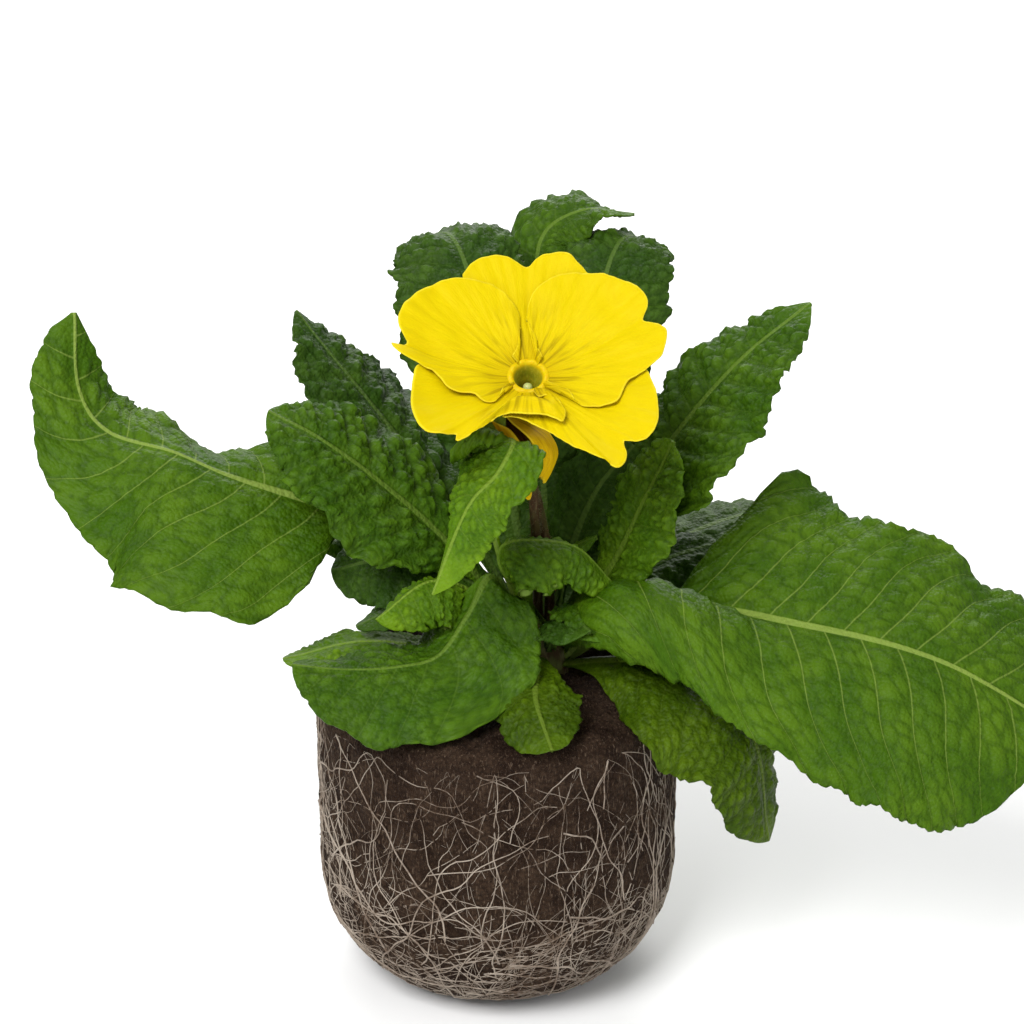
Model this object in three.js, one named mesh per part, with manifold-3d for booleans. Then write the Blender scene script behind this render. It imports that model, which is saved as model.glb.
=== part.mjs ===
// A polyanthus knocked out of its pot: a root ball held by its own root net, a rosette of crinkled
// leaves, one open bloom and one that is opening. Millimetres, +Z up. The origin is the centre of
// the root ball's flat base, and the bloom faces -Y.
import * as THREE from "three";
import { mergeVertices } from "three/addons/utils/BufferGeometryUtils.js";
import Module from "manifold-3d";

const wasm = await Module();
wasm.setup();

const GAP = 0.3;
const WELD = 1e-4;
const TURN = 2 * Math.PI;
const DEG = Math.PI / 180;

// Root ball, shaped by a pot with a 10.5 cm rim. CRUMB is the depth of its crumbs, MOUND the rise of
// its top face towards the crown.
const BALL = { height: 84, radius: 48, footRadius: 20, footHeight: 32, rimRound: 6, sides: 32 };
const CRUMB = 0.35;
const MOUND = [[30, 0.4], [20, 0.6], [6, 0.4]];

// Root net on the outside of the ball: clear is how far its middle stands off the peat, lowest the
// angle at which it ends under the foot, footShare the part of its length below the upright wall.
const ROOT = {
  radius: 0.6, sides: 3, clear: 1.35, lowest: 24 * DEG, highest: 78, footShare: 0.42,
  rings: 2, ringSteps: 26, strands: 13, strandSteps: 7,
};

// Crown, sunk in a plain hole in the soil: its radius by height.
const CROWN = {
  x: 12, y: 0, sides: 12,
  profile: [[76, 6.4], [84, 7], [90, 7], [93, 6], [96.5, 4.6], [99.5, 3.2], [101, 1.2]],
};
const TIERS = {
  outer: { radius: 6.4, height: 89 },
  middle: { radius: 4.8, height: 94 },
  inner: { radius: 3.0, height: 98.5 },
};

// Leaves: the gap that each keeps from the ones before it, thickness of the blade, depth of the
// midrib at the stalk and beyond the blade at the tip, half-widths of the stalk and its foot, height
// of the quilting, depth of the teeth as a share of the width, and how far the side veins sweep
// towards the tip.
const BLADE = {
  gap: 0.4, thick: 0.65, rib: 2.4, ribTip: 0.95, stalk: 1.8, foot: 1.2, tip: 0.8,
  quilt: 0.5, scallop: 0.035, sweep: 0.07,
};
const COLUMNS = {
  great: [-1, -0.8, -0.56, -0.32, -0.1, 0, 0.1, 0.32, 0.56, 0.8, 1],
  wide: [-1, -0.72, -0.42, -0.12, 0, 0.12, 0.42, 0.72, 1],
  narrow: [-1, -0.6, -0.16, 0, 0.16, 0.6, 1],
};
const GREAT_ROWS = 15;
const WIDE_ROWS = 11;
const YOUNG = ["west_pale", "southwest_small", "arched_west"];

// Open bloom. sector is the half-angle of a lobe at the throat, rise how far its edge stands in front
// of the throat. The tube's radius is given by its depth behind the throat.
const BLOOM = {
  throat: 3.6, sector: 38, rise: 8, ripple: 0.5, cleft: 0.12, cleftWidth: 0.14, rows: 5, columns: 9,
  lobeThick: 0.6, tubeLength: 18.5, tubeWall: 0.6, sides: 10,
};
const TUBE = [[-BLOOM.tubeLength, 1.7], [-8, 1.7], [-3, 2.4], [0.3, BLOOM.throat + 0.7]];
const BLOOM_AT = new THREE.Vector3(8, -24, 175);
const BLOOM_AXIS = new THREE.Vector3(0.02, -0.62, 0.78).normalize();

// Opening bloom: petals still furled, the odd ones lying further in by inset and all closing by close
// at their tips.
const BUD = {
  length: 24, mouth: 7, throat: 1.6, petals: 4, span: 48 * DEG, inset: 1.3, close: 2.2, overlap: 0.5,
  from: 0.12, rows: 5, columns: 6, thick: 0.6, root: [0.6, 2.8, 5],
};
const BUD_AT = new THREE.Vector3(-3.9, -17.5, 166.3);
const BUD_AXIS = new THREE.Vector3(0.5, -0.16, -0.85).normalize();

// Calyces: a ribbed sleeve with five teeth on a solid base. flare spreads the teeth. The pistil
// stands in the open bloom's.
const CALYX = {
  teeth: 5, sides: 10, wall: 0.8, waist: 0.75, rib: 0.6, base: [-1.2, -0.5, 0.25], halfTooth: 0.35,
};
const TOOTH = [[-0.6, 0.1, 2], [2.4, 0.5, 1.4], [4.6, 1.1, 0.35]];
const BLOOM_CALYX = { length: 9, radius: 3.3, flare: 1, pistil: 18 };
const BUD_CALYX = { length: 5, radius: 3.9, flare: 1.8 };
const PISTIL = { foot: -0.6, style: 0.45, stigma: 0.95, steps: 8, sides: 6 };

// Flower stems, from the crown: points that they pass, then the last stretch along the bloom's axis.
const STEM = { radius: 1.35, taper: 0.85, sides: 8, steps: 9, straight: 4 };
const BLOOM_STEM = [[11, -1, 96], [10.6, -4, 118], [9.4, -8, 138]];
const BUD_STEM = [[14, -1, 96], [13.4, -2.5, 118], [8, -1, 142], [-2, -3, 158], [-7.5, -9.5, 167.3]];

// Lobes of the open corolla by the angle of their middle, the half-angle that they span and the
// radius that they reach. notch is where their cleft lies across them, and ends and edge are how far
// their two sides draw in towards the throat and rise above it.
const LOBES = [
  { angle: 90, span: 54, length: 35, notch: 0, ends: [0.5, 0.5], edge: [-1.2, -1.2] },
  { angle: 160, span: 60, length: 36.5, notch: 0.1, ends: [0.5, 0.75], edge: [1.2, 1.6] },
  { angle: 27, span: 61, length: 37.5, notch: -0.07, ends: [0.5, 0.5], edge: [1.4, 1.4] },
  { angle: 238, span: 54, length: 33, notch: -0.15, ends: [0.2, 0.5], edge: [-1.4, 5] },
  { angle: 315, span: 57, length: 37, notch: 0.03, ends: [0.75, 0.4], edge: [-1, -1.6] },
];

// Each leaf springs from a tier of the crown at an angle, then its midrib runs through the points of
// path. faces is the plan direction that it points in, so that its left half lies at faces + 90.
// roll turns the blade about its midrib. left and right are half-widths; fold tilts each half up and
// curl bends it down towards its edge, in degrees. Roll, fold and curl are each a number, a pair that
// runs from the stalk to the tip, or knots of a place along the midrib and the value there. start is
// where each half begins to widen and widest where it is widest, unless outline gives the shares of
// the two half-widths by knots.
const LEAVES = [
  { name: "west_great", tier: "outer", angle: 165, lift: 1, faces: 172, left: 48, right: 32,
    path: [[-8, 2, 112], [-30, 3, 126], [-51.6, 3, 133], [-69.8, 4, 139.1], [-84, 7, 144.5],
      [-102, 12, 148.3], [-110, 18, 158], [-111.5, 26, 176.5]],
    roll: [[0, 0], [0.6, 0], [0.8, -8], [1, -40]],
    fold: [[[0, 0], [0.4, -30], [1, -25]],
      [[0, 0], [0.35, 50], [0.46, 50], [0.55, 20], [0.64, -12], [0.75, 12], [1, 0]]],
    curl: [-25, -10],
    outline: [
      [[0, 0.03], [0.3, 0.04], [0.38, 0.12], [0.42, 0.5], [0.47, 0.78], [0.56, 0.86], [0.66, 0.82],
        [0.74, 0.66], [0.8, 0.46], [0.86, 0.3], [0.92, 0.22], [0.97, 0.14], [1, 0.02]],
      [[0, 0.03], [0.2, 0.05], [0.32, 0.4], [0.45, 0.6], [0.52, 0.55], [0.64, 0.45], [0.71, 0.5],
        [0.8, 0.5], [0.87, 0.36], [0.94, 0.2], [1, 0.02]]],
    waves: 3.5, ruffle: 2, rows: 14 },
  { name: "east_great", tier: "outer", angle: 350, lift: 1, faces: -12, left: 46, right: 50,
    path: [[44, -7, 106], [80, -21, 107], [114, -28, 100], [146, -31, 82]],
    roll: [[0, 0], [0.3, 30], [1, 25]],
    fold: [[[0, 0], [0.3, 12], [0.5, 5], [1, 0]],
      [[0, 110], [0.15, 115], [0.28, 95], [0.45, 10], [0.7, -5], [1, -10]]],
    curl: [-15, [[0, -180], [0.15, -195], [0.28, -165], [0.45, -40], [0.7, -30], [1, -20]]],
    outline: [
      [[0, 0.03], [0.22, 0.04], [0.3, 0.5], [0.37, 0.98], [0.5, 0.86], [0.62, 0.82], [0.7, 0.86],
        [0.76, 0.74], [0.88, 0.74], [0.97, 0.35], [1, 0.02]],
      [[0, 0.03], [0.06, 0.4], [0.14, 0.8], [0.22, 0.85], [0.32, 0.7], [0.45, 0.7], [0.6, 0.81],
        [0.75, 0.88], [0.87, 0.8], [0.95, 0.5], [1, 0.02]]],
    waves: 3, ruffle: 2, rows: 15 },
  { name: "northeast", tier: "middle", angle: 40, lift: 1.5, faces: 15, roll: [10, 15], left: 19, right: 27,
    path: [[31, 6, 124], [47, 9, 149], [64, 14, 168], [82, 20, 181]],
    fold: [5, 5], curl: [-20, -15],
    start: [0.26, 0.26], widest: 0.52, point: 0.8, waves: 4, ruffle: 1.5, rows: 11 },
  { name: "northwest_low", tier: "middle", angle: 160, faces: 178, roll: -22, left: 22, right: 21,
    path: [[-12, 0, 121], [-30, -1, 139], [-46, 0, 151], [-59, 3, 157]],
    fold: [-5, 0], curl: [-30, -15],
    start: [0.2, 0.2], widest: 0.56, point: 0.6, waves: 4, ruffle: 1.5, rows: 11 },
  { name: "southwest_broad", tier: "outer", angle: 238, lift: 2, faces: 208, roll: 0, left: 24, right: 14,
    path: [[4, -6, 108], [-1.7, -10, 116.4], [-7.8, -18, 108.8], [-14.9, -26, 101.2],
      [-24.4, -30, 99.9], [-37.1, -32, 99.9], [-51.8, -32, 101]],
    fold: [-35, -10], curl: [-15, 10],
    start: [0.12, 0.3], widest: 0.55, waves: 3, ruffle: 1.5, rows: 11 },
  { name: "southeast_low", tier: "outer", angle: 322, faces: -28, roll: [15, -10], left: 18, right: 27,
    path: [[36, -14, 94], [54, -23, 90], [67, -30, 78], [71, -33, 51]],
    fold: [5, -10], curl: [-20, -25],
    start: [0.14, 0], widest: 0.5, point: 0.6, waves: 3, ruffle: 2, rows: 11 },
  { name: "back_west", tier: "middle", angle: 132, lift: -1, faces: 145, roll: [0, -20], left: 22,
    right: 26, path: [[-9, 15, 122], [-30, 28, 146], [-54, 40, 173]],
    fold: [15, [20, -40]], curl: [-10, -15],
    start: [0.16, 0.16], widest: [0.62, 0.5], point: 0.8, waves: 4, ruffle: 1.2, rows: 10 },
  { name: "north_west_tall", tier: "middle", angle: 106, lift: 1, faces: 120, roll: -10, left: 22,
    right: 19, path: [[3, 16, 134], [-4, 33, 171], [-12, 52, 190], [-23, 72, 184]],
    fold: [-5, -5], curl: [-20, -20],
    start: [0.1, 0.2], widest: 0.58, waves: 4, ruffle: 1.5, rows: 10 },
  { name: "north_east_tall", tier: "middle", angle: 70, lift: 1, faces: 60, roll: 10, left: 16,
    right: 19, path: [[19, 20, 134], [26, 41, 169], [34, 61, 187], [46, 80, 180]],
    fold: [-5, -5], curl: [-20, -20],
    start: [0.2, 0.1], widest: 0.58, waves: 4, ruffle: 1.5, rows: 10 },
  { name: "north_top", tier: "outer", angle: 90, lift: 3, faces: 60, roll: 0, left: 12, right: 11,
    path: [[12, 30, 128], [11, 57, 166], [12, 69, 185], [24, 71, 193], [38, 70, 192]],
    fold: [-5, -5], curl: [-20, -20],
    start: [0.5, 0.55], widest: 0.8, waves: 4, ruffle: 1, rows: 10 },
  { name: "north_low", tier: "outer", angle: 104, lift: -1, faces: 88, roll: 0, left: 25, right: 25,
    path: [[12, 34, 111], [15, 66, 112], [18, 96, 92]],
    fold: [-5, -5], curl: [-20, -20],
    start: [0.16, 0.16], widest: 0.6, waves: 3, ruffle: 2, rows: 8 },
  { name: "northeast_low", tier: "outer", angle: 35, faces: 32, roll: 0, left: 25, right: 25,
    path: [[46, 26, 110], [76, 44, 114], [104, 58, 102]],
    fold: [-5, -5], curl: [-20, -20],
    start: [0.16, 0.16], widest: 0.6, waves: 3.5, ruffle: 2, rows: 8 },
  { name: "northwest_broad", tier: "outer", angle: 138, faces: 138, roll: 0, left: 26, right: 26,
    path: [[-20, 28, 110], [-46, 52, 114], [-70, 74, 100]],
    fold: [-5, -5], curl: [-20, -20],
    start: [0.16, 0.16], widest: 0.6, waves: 3.5, ruffle: 2, rows: 8 },
  { name: "arched_west", tier: "inner", angle: 210, faces: 232, roll: [-20, -5], left: 14, right: 15,
    path: [[2, -7, 122], [-5, -17, 144], [-3, -28, 157], [-6, -37, 148], [-15.8, -43, 124.5]],
    fold: [-15, -35], curl: [-25, -25],
    start: [0.25, 0.3], widest: 0.66, point: 0.7, waves: 4, ruffle: 0.8, rows: 11 },
  { name: "east_upright", tier: "inner", angle: 340, faces: -5, roll: [35, 20], left: 13, right: 17,
    path: [[28, -5, 114], [38, -6, 136], [45, -7, 152]],
    fold: [10, 5], curl: [-15, -35],
    start: [0.16, 0.16], widest: 0.62, waves: 4, ruffle: 0.8, rows: 8 },
  { name: "southwest_small", tier: "middle", angle: 200, faces: 210, roll: 0, left: 14, right: 10,
    path: [[-6, -5, 110], [-18, -14, 116.5], [-31, -22, 109]],
    fold: [-25, -20], curl: [-60, -40],
    start: [0.3, 0.3], widest: 0.6, waves: 4, ruffle: 0.6, rows: 8 },
  { name: "west_small", tier: "middle", angle: 192, faces: 185, roll: 0, left: 8, right: 8,
    path: [[-10, -4, 107], [-24, -6, 107], [-37, -8, 101]],
    fold: [-10, 0], curl: [-20, -10],
    start: [0.35, 0.35], widest: 0.66, waves: 4, ruffle: 0.6, rows: 8 },
  { name: "south_recurved", tier: "inner", angle: 262, faces: 0, roll: [30, 10], left: 10, right: 15,
    path: [[8, -8, 109], [3, -12, 119], [3, -14, 125.5], [9, -15, 128.5], [20, -14, 126],
      [30, -14, 118]],
    fold: [-40, -40], curl: [-40, -30],
    start: [0.3, 0.12], widest: [0.6, 0.5], point: 0.45, waves: 4, ruffle: 0.8, rows: 8 },
  { name: "south_small", tier: "middle", angle: 300, faces: 300, roll: 0, left: 9, right: 10,
    path: [[19, -9, 107], [24, -16, 110], [30, -26, 105]],
    fold: [0, 0], curl: [-25, -25],
    start: [0.16, 0.16], widest: 0.6, waves: 3, ruffle: 0.6, rows: 8 },
  { name: "south_low", tier: "outer", angle: 270, faces: 272, roll: 0, left: 12, right: 12,
    path: [[11, -16, 95.5], [10, -36, 93.5], [14, -51, 86]],
    fold: [-10, -19], curl: [-20, -20],
    start: [0.16, 0.16], widest: 0.62, waves: 3, ruffle: 0.8, rows: 8 },
  { name: "east_small", tier: "middle", angle: 8, lift: -1, faces: 10, roll: 20, left: 12, right: 12,
    path: [[33, 7, 107], [46, 11, 113], [59, 14, 116]],
    fold: [0, 0], curl: [-25, -25],
    start: [0.16, 0.16], widest: 0.64, waves: 4, ruffle: 0.8, rows: 8 },
  { name: "inner_small", tier: "inner", angle: 30, faces: -10, roll: 0, left: 7, right: 7,
    path: [[17, 1, 112], [20, 0, 120], [26, -2, 124]],
    fold: [0, 0], curl: [-30, -30],
    start: [0.16, 0.16], widest: 0.62, waves: 3, ruffle: 0.5, rows: 8 },
  { name: "west_pale", tier: "outer", angle: 200, lift: -1.5, faces: 188, roll: 0, left: 12, right: 12,
    path: [[-16, -7, 95], [-36, -10, 98], [-56, -13, 94]],
    fold: [-5, -5], curl: [-20, -20],
    start: [0.16, 0.16], widest: 0.6, waves: 3, ruffle: 0.8, rows: 8 },
];

const SOIL_BROWN = 0x40332a;
const ROOT_BEIGE = 0x9a8c78;
const CROWN_GREEN = 0x8f9a5c;
const LEAF_GREEN = 0x4f7724;
const YOUNG_GREEN = 0x7d9a2c;
const PETAL_YELLOW = 0xf6d90a;
const BUD_YELLOW = 0xd9a80c;
const CALYX_GREEN = 0x7f9440;
const STEM_BROWN = 0x6a5a34;

const clamp = THREE.MathUtils.clamp;
const lerp = THREE.MathUtils.lerp;
const ease = THREE.MathUtils.smoothstep;

// Repeatable random numbers, so that the plant grows alike each time.
let seed = 7;
function random() {
  seed = (seed * 16807) % 2147483647;
  return seed / 2147483647;
}

function geometryOf(points, faces) {
  const geometry = new THREE.BufferGeometry();
  geometry.setAttribute("position", new THREE.Float32BufferAttribute(points.flatMap((p) => p.toArray()), 3));
  geometry.setIndex(faces.flat());
  return geometry;
}

// A solid lofted through closed rings of points, its two ends closed by flat fans.
function loft(rings) {
  const sides = rings[0].length;
  const points = rings.flat();
  const faces = [];
  for (let i = 0; i + 1 < rings.length; i++) {
    for (let j = 0; j < sides; j++) {
      const a = i * sides + j;
      const b = i * sides + ((j + 1) % sides);
      faces.push([a, b, a + sides], [b, b + sides, a + sides]);
    }
  }
  const last = (rings.length - 1) * sides;
  for (let j = 1; j + 1 < sides; j++) {
    faces.push([0, j + 1, j], [last, last + j, last + j + 1]);
  }
  return geometryOf(points, faces);
}

// A ring of tube wall: lofted rings whose last joins the first again.
function hoop(rings) {
  const sides = rings[0].length;
  const count = rings.length;
  const faces = [];
  for (let i = 0; i < count; i++) {
    const next = ((i + 1) % count) * sides;
    for (let j = 0; j < sides; j++) {
      const k = (j + 1) % sides;
      faces.push([i * sides + j, i * sides + k, next + j], [i * sides + k, next + k, next + j]);
    }
  }
  return geometryOf(rings.flat(), faces);
}

// A thin blade from a grid of points: the lower face is the upper one moved down its normals by
// depth(i, j), and both faces are split into triangles alike.
function bladeFrom(grid, depth) {
  const rows = grid.length;
  const columns = grid[0].length;
  const upper = grid.flat();
  const normalAt = (i, j) => {
    const along = grid[Math.min(i + 1, rows - 1)][j].clone().sub(grid[Math.max(i - 1, 0)][j]);
    const across = grid[i][Math.min(j + 1, columns - 1)].clone().sub(grid[i][Math.max(j - 1, 0)]);
    return along.cross(across).normalize();
  };
  const lower = grid.flatMap((row, i) =>
    row.map((p, j) => p.clone().addScaledVector(normalAt(i, j), -depth(i, j))));
  const under = upper.length;
  const faces = [];
  for (let i = 0; i + 1 < rows; i++) {
    for (let j = 0; j + 1 < columns; j++) {
      const a = i * columns + j;
      const b = a + columns;
      faces.push([a, b, b + 1], [a, b + 1, a + 1]);
      faces.push([under + a, under + b + 1, under + b], [under + a, under + a + 1, under + b + 1]);
    }
  }
  const rim = [];
  for (let j = 0; j + 1 < columns; j++) rim.push(j);
  for (let i = 0; i + 1 < rows; i++) rim.push(i * columns + columns - 1);
  for (let j = columns - 1; j > 0; j--) rim.push((rows - 1) * columns + j);
  for (let i = rows - 1; i > 0; i--) rim.push(i * columns);
  rim.forEach((a, k) => {
    const b = rim[(k + 1) % rim.length];
    faces.push([a, b, under + b], [a, under + b, under + a]);
  });
  return geometryOf([...upper, ...lower], faces);
}

// A solid of a closed geometry, turned to face outwards where it doesn't yet.
function solidOf(geometry) {
  const bare = geometry.index ? geometry.toNonIndexed() : geometry.clone();
  bare.deleteAttribute("normal");
  bare.deleteAttribute("uv");
  const merged = mergeVertices(bare, WELD);
  const vertProperties = merged.attributes.position.array;
  const made = (triVerts) => new wasm.Manifold(new wasm.Mesh({ numProp: 3, vertProperties, triVerts }));
  const solid = made(new Uint32Array(merged.index.array));
  return solid.volume() > 0 ? solid : made(new Uint32Array(merged.index.array).reverse());
}

function fused(geometries) {
  return geometries.map(solidOf).reduce((all, one) => all.add(one));
}

// The largest body of a solid, without the loose scraps that a cut leaves.
function mainBody(solid) {
  return solid.decompose().reduce((best, one) => (one.volume() > best.volume() ? one : best));
}

function geometryFrom(solid) {
  const mesh = solid.getMesh();
  const geometry = new THREE.BufferGeometry();
  const positions = new Float32Array((mesh.vertProperties.length / mesh.numProp) * 3);
  for (let i = 0; i < positions.length / 3; i++) {
    for (let k = 0; k < 3; k++) positions[3 * i + k] = mesh.vertProperties[i * mesh.numProp + k];
  }
  geometry.setAttribute("position", new THREE.BufferAttribute(positions, 3));
  geometry.setIndex(new THREE.BufferAttribute(new Uint32Array(mesh.triVerts), 1));
  geometry.computeVertexNormals();
  return geometry;
}

// Two unit vectors square to a direction, steady along a path that doesn't turn through hint.
function squareTo(direction, hint) {
  const first = hint.clone().addScaledVector(direction, -hint.dot(direction)).normalize();
  return [first, direction.clone().cross(first)];
}

function ringAt(centre, first, second, sides, radius) {
  return Array.from({ length: sides }, (_, k) => {
    const angle = (TURN * k) / sides;
    const reach = typeof radius === "function" ? radius(k) : radius;
    return centre.clone().addScaledVector(first, reach * Math.cos(angle))
      .addScaledVector(second, reach * Math.sin(angle));
  });
}

// A tapering stem along a curve.
function stemAlong(curve, radiusAt, { steps, sides }, hint) {
  const rings = [];
  for (let i = 0; i <= steps; i++) {
    const u = i / steps;
    const [first, second] = squareTo(curve.getTangentAt(u), hint);
    rings.push(ringAt(curve.getPointAt(u), first, second, sides, radiusAt(u)));
  }
  return loft(rings);
}

function curveThrough(points) {
  return new THREE.CatmullRomCurve3(points.map((p) => new THREE.Vector3(...p)), false, "catmullrom", 0.5);
}

// Root ball: radius of its outer face at a height, with the crumbs of the peat.
function ballRadius(z) {
  if (z >= BALL.footHeight) return BALL.radius;
  const drop = (BALL.footHeight - z) / BALL.footHeight;
  return BALL.footRadius + (BALL.radius - BALL.footRadius) * Math.sqrt(1 - drop * drop);
}

function crumbs(angle, z) {
  return CRUMB * (Math.sin(5 * angle + z / 9) + Math.sin(9 * angle - z / 6)) * ease(z, 0, 8);
}

function rootBall(hole) {
  const rows = [];
  for (const t of [0, 20, 40, 58, 75]) {
    const z = BALL.footHeight * (1 - Math.cos(t * DEG));
    rows.push([ballRadius(z), z]);
  }
  const shoulder = BALL.height - BALL.rimRound;
  for (let k = 0; k <= 3; k++) rows.push([BALL.radius, lerp(BALL.footHeight, shoulder, k / 3)]);
  for (const t of [35, 75]) {
    rows.push([
      BALL.radius - BALL.rimRound * (1 - Math.cos(t * DEG)),
      shoulder + BALL.rimRound * Math.sin(t * DEG),
    ]);
  }
  const wallRows = rows.length;
  for (const [radius, rise] of MOUND) rows.push([radius, BALL.height + rise]);
  const rings = rows.map(([radius, z], i) => Array.from({ length: BALL.sides }, (_, k) => {
    const angle = (TURN * k) / BALL.sides;
    const reach = radius + crumbs(angle, z);
    const lump = i < wallRows ? 0 : 1.4 * CRUMB * Math.sin(4 * angle + radius);
    return new THREE.Vector3(reach * Math.cos(angle), reach * Math.sin(angle), z + lump);
  }));
  return solidOf(loft(rings)).subtract(hole);
}

// A point of the root net: s runs from 0 at the foot to 1 below the rim.
function rootPoint(angle, s) {
  const t = lerp(ROOT.lowest, Math.PI / 2, clamp(s / ROOT.footShare, 0, 1));
  const wall = clamp((s - ROOT.footShare) / (1 - ROOT.footShare), 0, 1);
  const z = BALL.footHeight * (1 - Math.cos(t)) + wall * (ROOT.highest - BALL.footHeight);
  const outward = new THREE.Vector2(Math.sin(t) / (BALL.radius - BALL.footRadius),
    -Math.cos(t) / BALL.footHeight).normalize();
  const reach = ballRadius(z) + crumbs(angle, z) + ROOT.clear * outward.x;
  return new THREE.Vector3(reach * Math.cos(angle), reach * Math.sin(angle), z + ROOT.clear * outward.y);
}

function rootAlong(points, closed) {
  const count = points.length;
  const rings = points.map((p, i) => {
    const before = points[closed ? (i + count - 1) % count : Math.max(i - 1, 0)];
    const after = points[closed ? (i + 1) % count : Math.min(i + 1, count - 1)];
    const outward = new THREE.Vector3(p.x, p.y, 0).normalize();
    const [first, second] = squareTo(after.clone().sub(before).normalize(), outward);
    return ringAt(p, first, second, ROOT.sides, ROOT.radius);
  });
  return closed ? hoop(rings) : loft(rings);
}

// Rings that run round the foot, and strands that wander up the wall across them.
function rootNet() {
  const roots = [];
  for (let ring = 0; ring < ROOT.rings; ring++) {
    const level = 0.08 + 0.17 * ring;
    const phase = TURN * random();
    roots.push(rootAlong(Array.from({ length: ROOT.ringSteps }, (_, k) => {
      const angle = (TURN * k) / ROOT.ringSteps;
      const sway = 0.03 * Math.sin(2 * angle + phase) + 0.02 * Math.sin(5 * angle + phase);
      return rootPoint(angle, level + sway);
    }), true));
  }
  for (let k = 0; k < ROOT.strands; k++) {
    const start = (TURN * (k + 0.5 * random())) / ROOT.strands;
    const high = 0.72 + 0.28 * random();
    const lean = 0.5 * (random() - 0.5);
    const wander = 0.06 + 0.08 * random();
    roots.push(rootAlong(Array.from({ length: ROOT.strandSteps + 1 }, (_, i) => {
      const u = i / ROOT.strandSteps;
      return rootPoint(start + lean * u + wander * Math.sin(7 * u + k), lerp(0.02, high, u));
    }), false));
  }
  return mainBody(fused(roots));
}

// The crown, or with a pad the room that it takes up in the soil and among the leaves.
function crownSolid(pad) {
  const last = CROWN.profile.length - 1;
  const rings = CROWN.profile.map(([z, radius], i) => {
    const end = i === 0 ? -pad : i === last ? pad : 0;
    return ringAt(new THREE.Vector3(CROWN.x, CROWN.y, z + end), new THREE.Vector3(1, 0, 0),
      new THREE.Vector3(0, 1, 0), CROWN.sides, radius + pad);
  });
  return solidOf(loft(rings));
}

// The value at u along a midrib of a number, a pair from the stalk to the tip, or eased knots.
function along(value, u) {
  if (!Array.isArray(value)) return value;
  if (!Array.isArray(value[0])) return lerp(...value, u);
  const last = value.length - 1;
  const slopeAt = (k) => {
    const [before, after] = [value[Math.max(k - 1, 0)], value[Math.min(k + 1, last)]];
    return (after[1] - before[1]) / (after[0] - before[0]);
  };
  const next = value.findIndex(([place]) => place > u);
  const i = next < 0 ? last - 1 : Math.max(next - 1, 0);
  const span = value[i + 1][0] - value[i][0];
  const t = clamp((u - value[i][0]) / span, 0, 1);
  const s = 1 - t;
  return value[i][1] * (1 + 2 * t) * s * s + value[i + 1][1] * t * t * (3 - 2 * t)
    + slopeAt(i) * span * t * s * s - slopeAt(i + 1) * span * t * t * s;
}

// Half-width of a blade at u along its midrib, k being 0 for its left half and 1 for its right.
function halfWidth(u, leaf, k) {
  const widest = k === 0 ? leaf.left : leaf.right;
  if (leaf.outline) return Math.max(widest * along(leaf.outline[k], u), BLADE.tip);
  const turning = leaf.widest[k] ?? leaf.widest;
  const stalk = lerp(BLADE.foot, BLADE.stalk, Math.min(10 * u, 1));
  if (u < turning) return stalk + (widest - stalk) * ease(u, leaf.start[k], turning);
  const t = (u - turning) / (1 - turning);
  return Math.max(widest * Math.pow(1 - t * t, leaf.point ?? 0.5), BLADE.tip);
}

// How far a half-blade reaches out and up at v of its width, bent as an arc.
function halfSection(v, fold, curl) {
  const steps = 8;
  let out = 0;
  let up = 0;
  for (let k = 0; k < steps; k++) {
    const angle = (fold + (curl * v * (k + 0.5)) / steps) * DEG;
    out += (Math.cos(angle) * v) / steps;
    up += (Math.sin(angle) * v) / steps;
  }
  return [out, up];
}

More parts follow.
